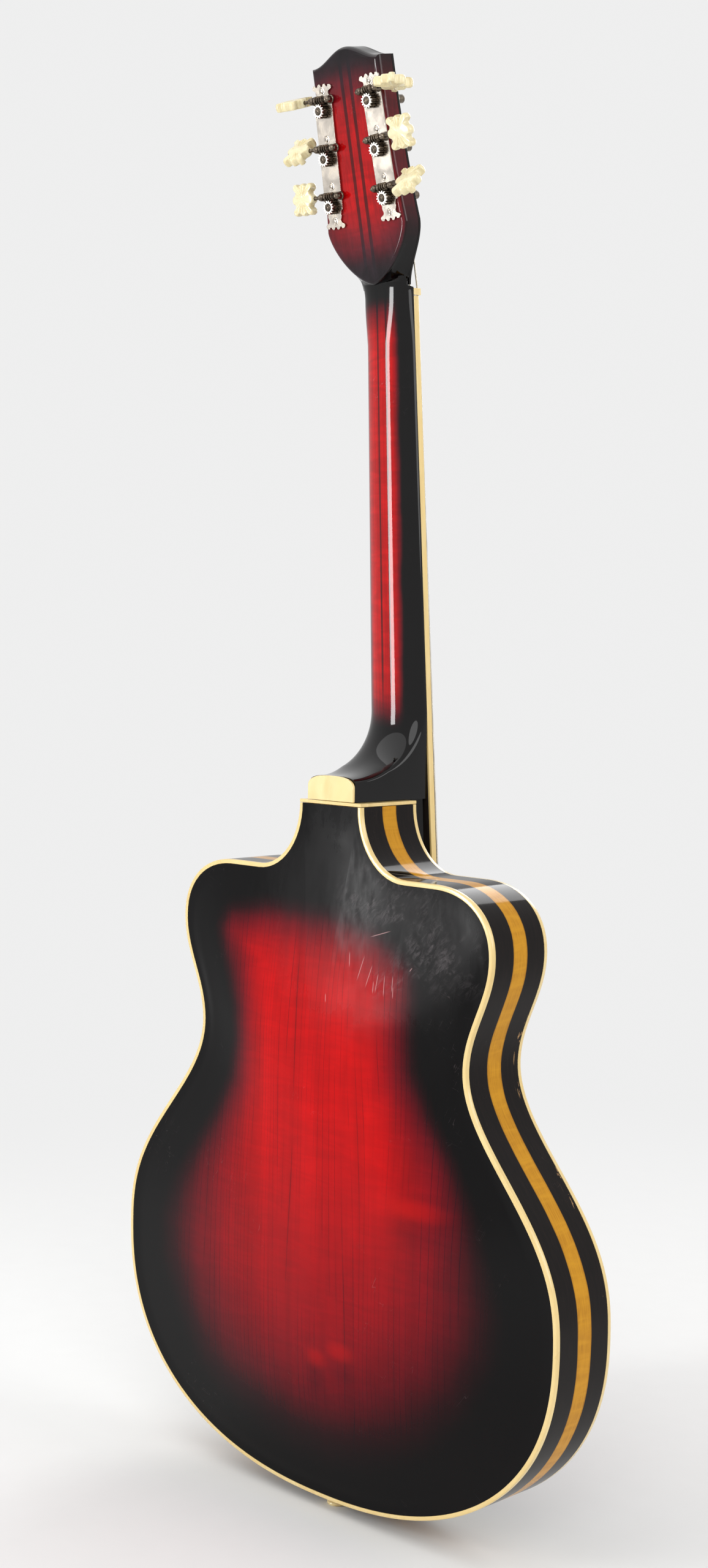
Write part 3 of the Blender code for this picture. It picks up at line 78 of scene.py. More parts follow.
# Sound holes
F_WIDTH = 0.0075
F_LENGTH = 0.100
F_CENTRE_X = 0.092
F_CENTRE_Z = 0.232
F_LEAN = 0.017
F_SWAY = 0.006  # of their S
F_TAPER = 0.55
F_EYE = 0.0062
F_FRONT = -0.120  # where their cutters start
F_BACK = -RIM_DEPTH + 0.020

# Neck
SCALE_LENGTH = 0.640
FRET_COUNT = 20
JOINT_FRET = 14
NUT_FROM_JOINT = SCALE_LENGTH * (1 - 2 ** (-JOINT_FRET / 12))
BOARD_UNDER = 0.0736
NECK_TILT = math.radians(3.2)
NUT_HALF = 0.0215
JOINT_HALF = 0.0270
NECK_DEPTH_NUT = 0.0106
NECK_DEPTH_JOINT = 0.0146
NECK_SIDES = 56
BOARD_EDGE = 0.0052
BOARD_RADIUS = 0.300
BOARD_BINDING = 0.0018
BOARD_OVERHANG = 0.006
BOARD_STEPS = 20
EXTENSION_DEPTH = 0.007
EXTENSION_HALF = 0.0200
NUT_THICK = 0.0050
NUT_RISE = 0.0016
FRET_WIDTH = 0.0022
FRET_CROWN = 0.0010
HEEL_CENTRE_Z = 0.562
HEEL_CREST = 0.0440
HEEL_ROUND = 0.0050
HEEL_HALF = 0.0225
HEEL_CAP_THICK = 0.0022
HEEL_POWER = 2.6

# Peghead
HEAD_ANGLE = math.radians(9.0)
HEAD_SET = 0.0015
HEAD_THICK = 0.016
VENEER_THICK = 0.0020
HEAD_LENGTH = 0.1607
HEAD_TOP_HALF = 0.0322
HEAD_LOW_HALF = 0.0382
HEAD_WIDEST = 0.0500
CROWN_RISE = 0.0100
CROWN_HALF = 0.0315
TONGUE_LENGTH = 0.0400
TONGUE_POWER = 1.5
HEAD_ROUND = 0.0028
BLOCK_FOOT = 0.012
NECK_BLEND = 0.034  # past the nut, where the neck's sections end in the head

# Tuners
PLATE_CENTRE = 0.1006
PLATE_X = 0.0248
PLATE_SLANT = math.radians(2.35)
TUNER_PLATE_LENGTH = 0.098
TUNER_PLATE_WIDTH = 0.0168
TUNER_PLATE_THICK = 0.0012
PLATE_TOP = SEAM + TUNER_PLATE_THICK
TUNER_SPACING = 0.0324
TUNER_SHIFT = -0.0012
GEAR_TEETH = 14
GEAR_TIP = 0.0050
GEAR_ROOT = 0.0039
GEAR_FACE = 0.0056
GEAR_LOW = PLATE_TOP + SEAM
GEAR_MIDDLE = GEAR_LOW + GEAR_FACE / 2
WORM_LEAD = 0.0020
WORM_RADIUS = 0.0030
WORM_CORE = 0.0019
WORM_LENGTH = 0.0092
WORM_MESH = 0.0072
SHAFT_RADIUS = 0.0012
BEARING_RADIUS = 0.0026
BEARING_OUT = 0.0077
POST_RADIUS = 0.0030
POST_STUB = 0.0017
POST_OUT = 0.0130
POST_HOLE = POST_RADIUS + SEAM
BUTTON_OUT = 0.0246
BUTTON_THICK = 0.0060
BUTTON_TURNS = {1: 4, 2: 48, 3: 82, 4: 76, 5: 6, 6: -46}
SCREW_SPOTS = (0.0444, 0.0122, -0.0196, -0.0433)

# Strings
STRING_RADII = (0.00018, 0.00022, 0.00030, 0.00042, 0.00055, 0.00068)
NUT_SPREAD = 0.0352
SADDLE_SPREAD = 0.0520
TAIL_SHARE = 0.96  # of their spread over the saddle
STRING_RISE_SADDLE = 0.0068
WIND_TURNS = 2
WIND_STEPS = 36
WIND_GAP = 0.00055
WIND_ENTRY = 0.0062

# Tailpiece
TAIL_Y = -RIM_DEPTH - 0.0280
TAIL_Z = 0.0880
TAIL_HALF = 0.034
TAIL_BAR = 0.0042
TAIL_ROD = 0.0016
ANCHOR_Z = TAIL_Z + 0.0005  # where the strings lie on the bar
STRING_TAIL = TAIL_BAR * 0.9  # their length past it
HINGE_HALF = 0.0120
HINGE_RADIUS = 0.0032
HINGE_Z = 0.0045
PIN_HEAD = 0.0075
PIN_NECK = 0.0048
PIN_ROUND = 0.0015
BRACKET_THICK = 0.0015


# Looks
class Value:
    """What a material's nodes work out. Arithmetic with it adds nodes; | keeps the larger of two."""

    def __init__(self, look, socket):
        self.look = look
        self.socket = socket

    def __add__(self, other):
        return self.look.math("ADD", self, other)

    def __sub__(self, other):
        return self.look.math("SUBTRACT", self, other)

    def __rsub__(self, other):
        return self.look.math("SUBTRACT", other, self)

    def __mul__(self, other):
        return self.look.math("MULTIPLY", self, other)

    def __or__(self, other):
        return self.look.math("MAXIMUM", self, other)

    def __abs__(self):
        return self.look.math("ABSOLUTE", self)

    def smooth(self, low, high, out_low=0.0, out_high=1.0):
        inputs = {"Value": self, "From Min": low, "From Max": high, "To Min": out_low, "To Max": out_high}
        return self.look.made("ShaderNodeMapRange", inputs, interpolation_type="SMOOTHSTEP")


class Look:
    """A material whose nodes are built up call by call."""

    def __init__(self, name, roughness=0.3, metallic=0.0, coat=0.0):
        self.material = bpy.data.materials.new(name)
        self.material.use_nodes = True
        self.tree = self.material.node_tree
        self.shader = self.tree.nodes["Principled BSDF"]
        self.set("Roughness", roughness)
        self.set("Metallic", metallic)
        self.set("Coat Weight", coat)
        self.set("Coat Roughness", 0.05)
        self.place = self.made("ShaderNodeTexCoord", {}, "Object")

    def feed(self, socket, value):
        if isinstance(value, Value):
            self.tree.links.new(value.socket, socket)
        elif isinstance(value, tuple) and socket.type == "RGBA":
            socket.default_value = (*value[:3], 1.0)
        else:
            socket.default_value = value

    def set(self, name, value):
        self.feed(self.shader.inputs[name], value)

    def made(self, kind, inputs, output=0, **settings):
        """One output of a new node with these inputs and settings."""
        node = self.tree.nodes.new(kind)
        for key, setting in settings.items():
            setattr(node, key, setting)
        for key, value in inputs.items():
            self.feed(node.inputs[key], value)
        return Value(self, node.outputs[output])

    def math(self, operation, a, b=0.0):
        return self.made("ShaderNodeMath", {0: a, 1: b}, operation=operation)

    def axis(self, name, place=None):
        return self.made("ShaderNodeSeparateXYZ", {0: place or self.place}, name)

    def scaled(self, factors, place=None):
        inputs = {0: place or self.place, 1: factors}
        return self.made("ShaderNodeVectorMath", inputs, operation="MULTIPLY")

    def length(self, vector):
        return self.made("ShaderNodeVectorMath", {0: vector}, "Value", operation="LENGTH")

    def turned(self, angles, shift=(0.0, 0.0, 0.0)):
        inputs = {"Vector": self.place, "Rotation": angles, "Location": shift}
        return self.made("ShaderNodeMapping", inputs, vector_type="POINT")

    def noise(self, factors, detail, roughness=0.5, distortion=0.0, place=None):
        """Noise with as many cells a metre along X, Y and Z as the factors say, or one factor for all."""
        if isinstance(factors, float):
            factors = (factors, factors, factors)
        inputs = {"Vector": self.scaled(factors, place), "Scale": 1.0, "Detail": detail}
        return self.made("ShaderNodeTexNoise", inputs | {"Roughness": roughness, "Distortion": distortion})

    def ramp(self, value, stops):
        made = self.made("ShaderNodeValToRGB", {0: value})
        steps = made.socket.node.color_ramp.elements
        while len(steps) < len(stops):
            steps.new(0.5)
        for step, (position, colour) in zip(steps, stops):
            step.position = position
            step.color = (*colour, 1.0)
        return made

    def mix(self, factor, a, b, blend="MIX"):
        inputs = {0: factor, 6: a, 7: b}
        return self.made("ShaderNodeMix", inputs, 2, data_type="RGBA", blend_type=blend)

    def tinted(self, share, colour, tint):
        return self.mix(share, colour, self.mix(1.0, colour, tint, "MULTIPLY"))

    def figured(self, share, colour, value, dark, pale):
        """The colour multiplied, in part, by a tint that goes from dark to pale with the value."""
        return self.mix(share, colour, self.mix(value, dark, pale), "MULTIPLY")

    def lacquer(self, weight=0.9, index=1.31):
        """One clear film does all the shining, so dark wood under it stays dark."""
        self.set("Specular IOR Level", 0.0)
        self.set("Coat Weight", weight)
        self.set("Coat IOR", index)

    def waxy(self, radius):
        """Light sinks a little way into it."""
        self.set("Subsurface Weight", 0.12)
        self.set("Subsurface Radius", radius)
        self.set("Subsurface Scale", 1.0)

    def done(self, colour, roughness, height, strength, distance):
        """The material, with its colour, a roughness where it isn't set yet, and its bumps."""
        self.set("Base Color", colour)
        if roughness:
            self.set("Roughness", roughness)
        inputs = {"Strength": strength, "Distance": distance, "Height": height}
        self.set("Normal", self.made("ShaderNodeBump", inputs))
        return self.material


RED_STOPS = [
    (0.0, (0.0011, 0.0007, 0.0008)),
    (0.06, (0.020, 0.0006, 0.0022)),
    (0.20, (0.098, 0.0008, 0.0046)),
    (0.45, (0.215, 0.0008, 0.0045)),
    (0.70, (0.345, 0.0010, 0.0030)),
    (1.0, (0.500, 0.0016, 0.0022)),
]
AMBER_STOPS = [(0.25, (0.37, 0.150, 0.008)), (0.55, (0.52, 0.235, 0.013)), (0.8, (0.62, 0.300, 0.020))]
IVORY_STOPS = [(0.25, (0.70, 0.50, 0.19)), (0.5, (0.78, 0.585, 0.25)), (0.8, (0.83, 0.655, 0.31))]
CREAM_STOPS = [(0.28, (0.72, 0.60, 0.33)), (0.5, (0.80, 0.70, 0.42)), (0.75, (0.84, 0.76, 0.50))]
PEARL_STOPS = [(0.3, (0.52, 0.55, 0.54)), (0.5, (0.82, 0.80, 0.74)), (0.7, (0.66, 0.72, 0.76))]

# Scratches of the back by their ends (x, z, x, z)
BACK_SCRATCHES = (
    (-0.0289, 0.3986, -0.0298, 0.3867),
    (-0.0429, 0.3973, -0.0374, 0.3780),
    (-0.0509, 0.3919, -0.0457, 0.3743),
    (-0.0569, 0.3868, -0.0552, 0.3715),
    (-0.0530, 0.3807, -0.0533, 0.3713),
    (-0.0627, 0.3864, -0.0633, 0.3698),
    (-0.0703, 0.3866, -0.0704, 0.3741),
    (-0.0712, 0.3790, -0.0715, 0.3700),
    (-0.0451, 0.4094, -0.0652, 0.4158),
    (-0.0846, 0.3903, -0.0870, 0.3933),
    (-0.0098, 0.3670, -0.0102, 0.3600),
)
SCRATCH_WIDTH = 0.00036

# Amber band of the rim, between these places along Y
STRIPE_LOW = -0.0356
STRIPE_HIGH = -0.0212
STRIPE_SOFT = 0.0005  # at its edges
STRIPE_MIDDLE = -0.02835

# Places of the back where the maple's curl is painted bright as a highlight, with painted shade under it: x,
# z and both radii
CURL_HIGHLIGHTS = ((-0.096, 0.229, 0.040, 0.010), (-0.031, 0.116, 0.019, 0.010), (-0.007, 0.107, 0.015, 0.010))


def wipes(look, low, high, worn=None):
    """Polishing haze: slow swirls in the gloss of a lacquered face, duller where it is worn."""
    haze = look.noise((14.0, 14.0, 9.0), 5.0, 0.6, 0.8)
    both = haze * 0.75 + look.noise((210.0, 210.0, 60.0), 3.0, 0.7) * 0.25
    gloss = both.smooth(0.35, 0.72, low, high)
    if worn:
        gloss += worn * both.smooth(0.30, 0.66, 0.24, 0.50)
    look.set("Coat Roughness", gloss)
    look.set("Roughness", both.smooth(0.35, 0.72, 0.35, 0.55))
    return haze


def hair(look, factors, width, angles):
    """Thin lines: the level curve of a noise that is stretched along them."""
    field = look.noise(factors, 1.0, 0.4, 0.0, look.turned(angles))
    return abs(field - 0.5).smooth(width, width * 0.25)


def scratches(look, amount):
    """Hairlines left by wiping, in patches and broken up along their length."""
    both = hair(look, (210.0, 150.0, 16.0), 0.0045, (0.0, 0.5, 0.3))
    both |= hair(look, (34.0, 150.0, 190.0), 0.0040, (0.2, 0.35, 0.0))
    breaks = look.noise(150.0, 2.0).smooth(0.52, 0.62)
    patch = look.noise(12.0, 2.0, 0.5, 0.4).smooth(0.52, 0.68)
    return both * breaks * (patch * amount)


def stroke(look, x0, z0, x1, z1):
    length = math.dist((x0, z0), (x1, z1))
    angle = math.atan2(x1 - x0, z1 - z0)
    middle = Matrix.Rotation(-angle, 3, "Y") @ Vector(((x0 + x1) / 2, 0.0, (z0 + z1) / 2))
    local = look.turned((0.0, -angle, 0.0), -middle)
    line = abs(look.axis("X", local)).smooth(SCRATCH_WIDTH, SCRATCH_WIDTH * 0.3)
    return line * abs(look.axis("Z", local)).smooth(length / 2, length * 0.22)


def spot(look, x, z, radius_x, radius_z):
    """1 at a place on the back, falling to 0 at the edge of an oval round it."""
    local = look.turned((0.0, 0.0, 0.0), (-x, 0.0, -z))
    return look.length(look.scaled((1 / radius_x, 0.0, 1 / radius_z), local)).smooth(1.0, 0.15)


def back_wear_and_painted_light(look, colour, burst):
    """Wear and painted light of the back: the maple's curl painted bright as highlights over painted shade, a
    row of scratches by the cutaway's shoulder and a dusty, wiped patch beside it, its grey haze partly dirt
    and partly a painted reflection. Returns the scratches and the dull zone too."""
    for x, z, radius_x, radius_z in CURL_HIGHLIGHTS:
        # painted shade: a darker oval under each fleck of curl
        under = spot(look, x, z - 1.5 * radius_z, radius_x, 1.6 * radius_z)
        colour = look.tinted(under * 0.45, colour, (0.5, 0.7, 1.1))
        # the curl's figure, painted bright as a highlight
        curl_highlight = spot(look, x, z, radius_x, radius_z) * (burst * 0.75)
        colour = look.mix(curl_highlight, colour, (0.50, 0.003, 0.002))
    # a dusty patch by the shoulder: its grey haze is partly dirt and partly a painted reflection
    dust_and_sheen = look.noise((230.0, 230.0, 90.0), 5.0, 0.72, 1.2, look.turned((0.0, 0.7, 0.0)))
    dust_and_sheen = dust_and_sheen.smooth(0.42, 0.70) * look.noise(34.0, 4.0, 0.6, 0.5).smooth(0.40, 0.62)
    dusty_sheen_patch = spot(look, -0.106, 0.404, 0.062, 0.036) | spot(look, -0.060, 0.438, 0.060, 0.030)
    dusty_sheen_patch |= spot(look, -0.068, 0.378, 0.030, 0.018)
    colour = look.mix(dust_and_sheen * dusty_sheen_patch * 0.30, colour, (0.24, 0.21, 0.22))
    lines = stroke(look, *BACK_SCRATCHES[0])
    for ends in BACK_SCRATCHES[1:]:
        lines |= stroke(look, *ends)
    colour = look.mix(lines * 0.55, colour, (0.62, 0.36, 0.36))
    return colour, lines, spot(look, -0.045, 0.425, 0.17, 0.14)


def burst_look(name, worn, spacing, waver):
    """Red to black lacquer over wood with grain lines. The mesh carries how red each point is."""
    look = Look(name)
    look.lacquer(0.65)
    burst = look.made("ShaderNodeAttribute", {}, "Fac", attribute_name="burst")
    burst += burst * (look.noise((24.0, 24.0, 16.0), 3.0) - 0.5) * 0.34
    colour = look.ramp(burst, RED_STOPS)
    level = look.noise((17.0, 17.0, 1.15), 2.0, 0.5, 0.35) * waver + look.axis("X") * (math.pi / spacing)
    grain = abs(look.math("SINE", level)).smooth(0.24, 0.03)
    grain *= look.noise((46.0, 46.0, 8.0), 3.0, 0.6).smooth(0.36, 0.56)
    colour = look.tinted(grain * 0.74, colour, (0.30, 0.6, 1.2))
    broad = look.noise((70.0, 70.0, 3.0), 4.0, 0.6, 0.3).smooth(0.34, 0.66)
    colour = look.figured(0.5, colour, broad, (0.70, 0.8, 0.9), (1.1, 1.1, 1.1))
    curl = look.noise((26.0, 26.0, 150.0), 4.0, 0.62, 0.9).smooth(0.34, 0.68)
    colour = look.figured(0.35, colour, curl, (0.78, 0.85, 0.9), (1.14, 1.2, 1.2))
    low = scratch = scratches(look, 0.15 if worn else 0.04)
    dull = None
    if worn:
        # on the back: scratches and other wear, with painted highlights, painted shade and a painted
        # reflection
        colour, lines, dull = back_wear_and_painted_light(look, colour, burst)
        low = scratch + lines * 0.3
    colour = look.mix(scratch, colour, (0.30, 0.24, 0.25))
    return look.done(colour, None, wipes(look, 0.03, 0.09, dull) + low * -0.6, 0.03, 0.004)


def rim_look():
    """Dark lacquered sides with an amber band along the middle, with painted shade darkening the band's
    edges.
    """
    look = Look("rim_lacquer")
    look.lacquer(0.7)
    level = look.axis("Y") + (look.noise((40.0, 200.0, 40.0), 2.0) - 0.5) * 0.0008
    stripe = level.smooth(STRIPE_LOW, STRIPE_LOW + STRIPE_SOFT)
    stripe *= level.smooth(STRIPE_HIGH, STRIPE_HIGH - STRIPE_SOFT)
    grain = look.noise((60.0, 1500.0, 60.0), 4.0, 0.55, 0.2)
    figure = look.noise((120.0, 18.0, 120.0), 3.0, 0.6, 0.8)
    amber = look.ramp(grain, AMBER_STOPS)
    amber = look.mix(figure.smooth(0.35, 0.7, 0.0, 0.8), amber, (0.60, 0.285, 0.017))
    # painted shade: the amber band is darkened towards its edges
    middle = abs(level - STRIPE_MIDDLE).smooth(0.0052, 0.0072, 1.0, 0.55)
    amber = look.mix(1.0 - middle, amber, (0.20, 0.07, 0.006))
    black = look.mix(grain.smooth(0.4, 0.7), (0.0040, 0.0024, 0.0020), (0.009, 0.0052, 0.0042))
    zone = level.smooth(-0.0462, -0.0496) * look.noise(18.0, 2.0).smooth(0.52, 0.60)
    chip = look.noise((150.0, 420.0, 60.0), 3.0, 0.65).smooth(0.62, 0.635) * zone
    colour = look.mix(chip, look.mix(stripe, black, amber), (0.62, 0.36, 0.16))
    colour = look.mix(scratches(look, 0.14), colour, (0.16, 0.12, 0.10))
    return look.done(colour, None, wipes(look, 0.04, 0.14) + chip * -2.5, 0.05, 0.004)


def neck_look():
    """Neck and peghead: red along the back, black towards board, heel, tongue and crown, two dark strips."""
    look = Look("neck_lacquer_fine")
    look.lacquer(1.0, 1.36)
    across, deep, along = (look.axis(name) for name in "XYZ")
    shift = Matrix.Rotation(HEAD_ANGLE, 4, "X") @ Vector((0, -HEAD_SET, -NUT_FROM_JOINT))
    head = look.turned((HEAD_ANGLE, 0.0, 0.0), shift)
    up = look.axis("Z", head)
    side = abs(across)
    drift = look.noise((30.0, 30.0, 22.0), 3.0) - 0.5
    wander = drift * 0.005
    shaft = (abs(across - 0.0035) + wander).smooth(0.0190, 0.0105) * deep.smooth(0.0020, 0.0060)
    shaft *= (along + wander).smooth(0.050, 0.086)
    shaft *= (along + wander).smooth(0.356, 0.322)
    on_face = look.axis("Y", head).smooth(0.0142, 0.0156) * up.smooth(0.0, 0.008)
    face = up.smooth(0.018, 0.066) * up.smooth(0.164, 0.118)
    face *= side.smooth(0.050, 0.006, 0.25, 0.86) * on_face
    edge = up.smooth(0.030, 0.082) * up.smooth(0.170, 0.130)
    edge *= (1.0 - on_face) * 0.22
    red = shaft | face | edge
    red += red * drift * 0.5
    colour = look.ramp(red, RED_STOPS)
    grain = look.noise((420.0, 420.0, 9.0), 5.0, 0.65, 0.2).smooth(0.36, 0.60)
    colour = look.figured(0.45, colour, grain, (0.45, 0.40, 0.44), (1.0, 1.0, 1.0))
    figure = look.noise((30.0, 30.0, 120.0), 3.0, 0.5, 1.0).smooth(0.35, 0.68)
    colour = look.figured(0.6, colour, figure, (0.72, 0.66, 0.7), (1.12, 1.3, 1.3))
    offset = abs(side - 0.0041) - up.smooth(-0.02, 0.03, 0.0, 0.0006)
    strip = offset.smooth(0.0011, 0.0007) * deep.smooth(0.006, 0.0075)
    strip *= along.smooth(0.060, 0.095, 0.0, 0.85)
    colour = look.tinted(strip, colour, (0.11, 0.9, 0.9))
    dusty = up.smooth(0.074, 0.024) * on_face | up.smooth(0.118, 0.150) * on_face * 0.6
    dusty *= look.noise((60.0, 60.0, 40.0), 4.0, 0.6, 0.5).smooth(0.34, 0.70, 0.35, 1.0)
    colour = look.mix(dusty * 0.22, colour, (0.085, 0.050, 0.070))
    scratch = scratches(look, 0.14) | scratches(look, 0.4) * dusty
    colour = look.mix(scratch, colour, (0.40, 0.32, 0.34))
    return look.done(colour, None, wipes(look, 0.03, 0.10) + scratch * -0.7, 0.03, 0.004)


def ivoroid_look(name, tint=(1.0, 1.0, 1.0)):
    """Ivory celluloid, faintly grained and yellowed unevenly."""
    look = Look(name, coat=0.6)
    look.set("Coat Roughness", 0.08)
    look.waxy((0.0012, 0.0008, 0.0004))
    streak = look.noise((60.0, 260.0, 34.0), 4.0, 0.5, 0.8)
    cloud = look.noise((22.0, 22.0, 14.0), 3.0, 0.6)
    colour = look.mix(cloud.smooth(0.38, 0.8), look.ramp(streak, IVORY_STOPS), (0.77, 0.56, 0.21))
    colour = look.mix(1.0, colour, tint, "MULTIPLY")
    return look.done(colour, cloud.smooth(0.3, 0.75, 0.24, 0.40), streak, 0.03, 0.0006)


def button_look():
    """Moulded cream plastic, smooth and glossy, with painted shade darkening the hollows."""
    look = Look("button_plastic", coat=0.5)
    look.waxy((0.0014, 0.0009, 0.0005))
    cloud = look.noise(110.0, 3.0, 0.5, 0.6)
    fleck = look.noise(520.0, 2.0, 0.5)
    # painted shade: the cream is darkened where the surface is hollow
    hollow_shade = look.made("ShaderNodeNewGeometry", {}, "Pointiness").smooth(0.48, 0.40, 0.0, 0.45)
    colour = look.mix(hollow_shade, look.ramp(cloud, CREAM_STOPS), (0.50, 0.36, 0.13))
    return look.done(colour, fleck.smooth(0.3, 0.7, 0.24, 0.36), cloud, 0.03, 0.0006)


def metal_look(name, clean, stained, stain_from, stain_to, rough, fine=1.0):
    """Plated metal: smudges in the gloss, stains where the plating has worn."""
    look = Look(name, metallic=1.0)
    patch = look.noise((150.0 * fine, 150.0 * fine, 110.0 * fine), 5.0, 0.6, 0.6)
    speck = look.noise(900.0, 3.0, 0.6)
    stain = (patch * 0.8 + speck * 0.2).smooth(stain_from, stain_to)
    gloss = patch.smooth(0.3, 0.7, rough, rough + 0.14)
    return look.done(look.mix(stain, clean, stained), gloss, patch + speck, 0.04 * fine, 0.0003)


def gear_look():
    """The wheel's polished front ring of teeth; sides and hollows are painted dark brown, partly tarnish and
    partly painted shade and painted dark reflection.
    """
    look = Look("nickel_gear", metallic=1.0)
    patch = look.noise(500.0, 4.0, 0.6)
    reach = look.length(look.scaled((1.0, 1.0, 0.0)))
    # The front ring keeps the pale nickel; the rest is painted dark, partly tarnish and partly painted shade
    # and dark reflection
    bright = (look.axis("Z") + patch * 0.0006).smooth(0.0019, 0.0026) * reach.smooth(0.0026, 0.0032)
    worn = look.mix(patch.smooth(0.4, 0.7), (0.13, 0.10, 0.075), (0.045, 0.034, 0.026))
    shiny = look.mix(patch.smooth(0.52, 0.75), (0.80, 0.77, 0.71), (0.46, 0.40, 0.32))
    gloss = patch.smooth(0.3, 0.7, 0.22, 0.40)
    return look.done(look.mix(bright, worn, shiny), gloss, patch, 0.05, 0.0002)


def string_look(name, colour, pitch):
    """Wire. A wound string has its ridges across the length, a plain one only its tarnish."""
    look = Look(name, metallic=1.0)
    tarnish = look.noise((300.0, 300.0, 40.0), 3.0)
    look.set("Base Color", look.mix(tarnish.smooth(0.4, 0.75), colour, tuple(c * 0.55 for c in colour)))
    look.set("Roughness", tarnish.smooth(0.35, 0.7, 0.22, 0.42))
    if pitch:
        inputs = {"Vector": look.place, "Scale": 0.314 / pitch}
        bands = {"wave_type": "BANDS", "bands_direction": "Z", "wave_profile": "SIN"}
        ridges = look.made("ShaderNodeTexWave", inputs, "Fac", **bands)
        bump = {"Strength": 0.7, "Distance": 0.0001, "Height": ridges}
        look.set("Normal", look.made("ShaderNodeBump", bump))
    return look.material


def wood_look(name, dark, pale, factors, roughness, coat=0.0):
    look = Look(name, coat=coat)
    grain = look.noise(factors, 5.0, 0.62, 0.3)
    pores = look.noise(tuple(f * 3.0 for f in factors), 2.0, 0.5)
    gloss = pores.smooth(0.3, 0.7, roughness - 0.08, roughness + 0.12)
    return look.done(look.mix(grain.smooth(0.3, 0.7), dark, pale), gloss, grain + pores, 0.18, 0.0005)


def pearl_look():
    look = Look("pearl", coat=0.5)
    swirl = look.noise(260.0, 4.0, 0.5, 2.2)
    gloss = swirl.smooth(0.3, 0.7, 0.14, 0.28)
    return look.done(look.ramp(swirl, PEARL_STOPS), gloss, swirl, 0.03, 0.0005)


def black_look():
    look = Look("head_lacquer")
    look.lacquer()
    grain = look.noise((300.0, 12.0, 300.0), 4.0, 0.6).smooth(0.4, 0.7)
    colour = look.mix(grain, (0.0045, 0.0035, 0.0035), (0.009, 0.007, 0.0065))
    colour = look.mix(scratches(look, 0.15), colour, (0.10, 0.09, 0.09))
    return look.done(colour, None, wipes(look, 0.04, 0.14), 0.03, 0.003)


EBONY = ((0.008, 0.006, 0.005), (0.030, 0.022, 0.018))
SPRUCE = ((0.36, 0.22, 0.11), (0.66, 0.48, 0.28))
LOOKS = {
    "back": burst_look("burst_back", True, 0.0050, 27.0),
    "top": burst_look("burst_top", False, 0.0021, 5.0),
    "rim": rim_look(),
    "neck": neck_look(),
    "binding": ivoroid_look("ivoroid_binding"),
    "cap": ivoroid_look("ivoroid_cap", (1.06, 1.10, 1.22)),
    "button": button_look(),
    "nickel": metal_look("nickel_plate", (0.56, 0.51, 0.45), (0.44, 0.39, 0.32), 0.47, 0.66, 0.12, 0.6),
    "aged": metal_look("nickel_aged", (0.19, 0.155, 0.12), (0.050, 0.038, 0.029), 0.36, 0.66, 0.24),
    "gear": gear_look(),
    "steel": string_look("string_plain", (0.70, 0.69, 0.66), 0.0),
    "wound": string_look("string_wound", (0.62, 0.58, 0.50), 0.00032),
    "ebony": wood_look("ebonised", *EBONY, (260.0, 260.0, 22.0), 0.36, 0.15),
    "spruce": wood_look("bare_spruce_fine", *SPRUCE, (300.0, 60.0, 12.0), 0.7),
    "pearl": pearl_look(),
    "black": black_look(),
}


# Building
def placed(name, data):
    obj = bpy.data.objects.new(name, data)
    bpy.context.scene.collection.objects.link(obj)
    return obj


def finish_mesh(bm, name, merge=1e-7):
    bmesh.ops.remove_doubles(bm, verts=bm.verts, dist=merge)
    bmesh.ops.recalc_face_normals(bm, faces=bm.faces)
    mesh = bpy.data.meshes.new(name)
    bm.to_mesh(mesh)
    bm.free()
    return mesh


def round_edges(obj, width, segments):
    rounding = obj.modifiers.new("rounding", "BEVEL")
    rounding.width = width
    rounding.segments = segments
    rounding.limit_method = "ANGLE"
    rounding.angle_limit = math.radians(32)
    rounding.harden_normals = True


def show(name, mesh, matrix, look, nodes, angle=35, bevel=0.0, body=GUITAR):
    """A piece of the guitar: in place, dressed, riding on its body and standing for its nodes."""
    obj = placed(name, mesh)
    obj.matrix_world = matrix
    mesh.materials.clear()
    mesh.materials.append(LOOKS[look])
    mesh.shade_smooth()
    mesh.set_sharp_from_angle(angle=math.radians(angle))
    if bevel:
        round_edges(obj, bevel, 2)
    bpy.context.view_layer.update()
    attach(obj, body)
    if nodes:
        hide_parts(*nodes)


def dress(node, look, bevel=0.0, segments=2):
    """A CAD node that keeps its own shape: a finer material and rounded edges."""
    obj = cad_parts[node]
    for slot in obj.material_slots:
        slot.material = LOOKS[look]
    if bevel:
        obj.modifiers.new("weld", "WELD").merge_threshold = 1e-6
        round_edges(obj, bevel, segments)


def skin(bm, rings, cap=False):
    """Faces between closed rings of vertices and, with cap, over the first and last ring."""
    count = len(rings[0])
    for low, high in zip(rings, rings[1:]):
        for i in range(count):
            j = (i + 1) % count
            corners = []
            for vertex in (low[i], low[j], high[j], high[i]):
                if vertex not in corners:
                    corners.append(vertex)
            if len(corners) > 2:
                bm.faces.new(corners)
    if cap:
        bm.faces.new(rings[0][::-1])
        bm.faces.new(rings[-1])


def add_loft(bm, sections):
    skin(bm, [[bm.verts.new(point) for point in section] for section in sections], cap=True)


def loft(name, sections, merge=1e-7):
    bm = bmesh.new()
    add_loft(bm, sections)
    return finish_mesh(bm, name, merge)


def prism(name, points, low, high, axis=2, merge=1e-7):
    """A flat shape between two levels along Z, or along Y with axis 1."""
    sections = [[(*p[:axis], level, *p[axis:]) for p in points] for level in (low, high)]
    return loft(name, sections, merge)


def block(name, low, high):
    middle = [(a + b) / 2 for a, b in zip(low, high)]
    size = [b - a for a, b in zip(low, high)]
    bm = bmesh.new()
    bmesh.ops.create_cube(bm, size=1.0, matrix=at(*middle) @ Matrix.Diagonal((*size, 1.0)))
    return finish_mesh(bm, name)


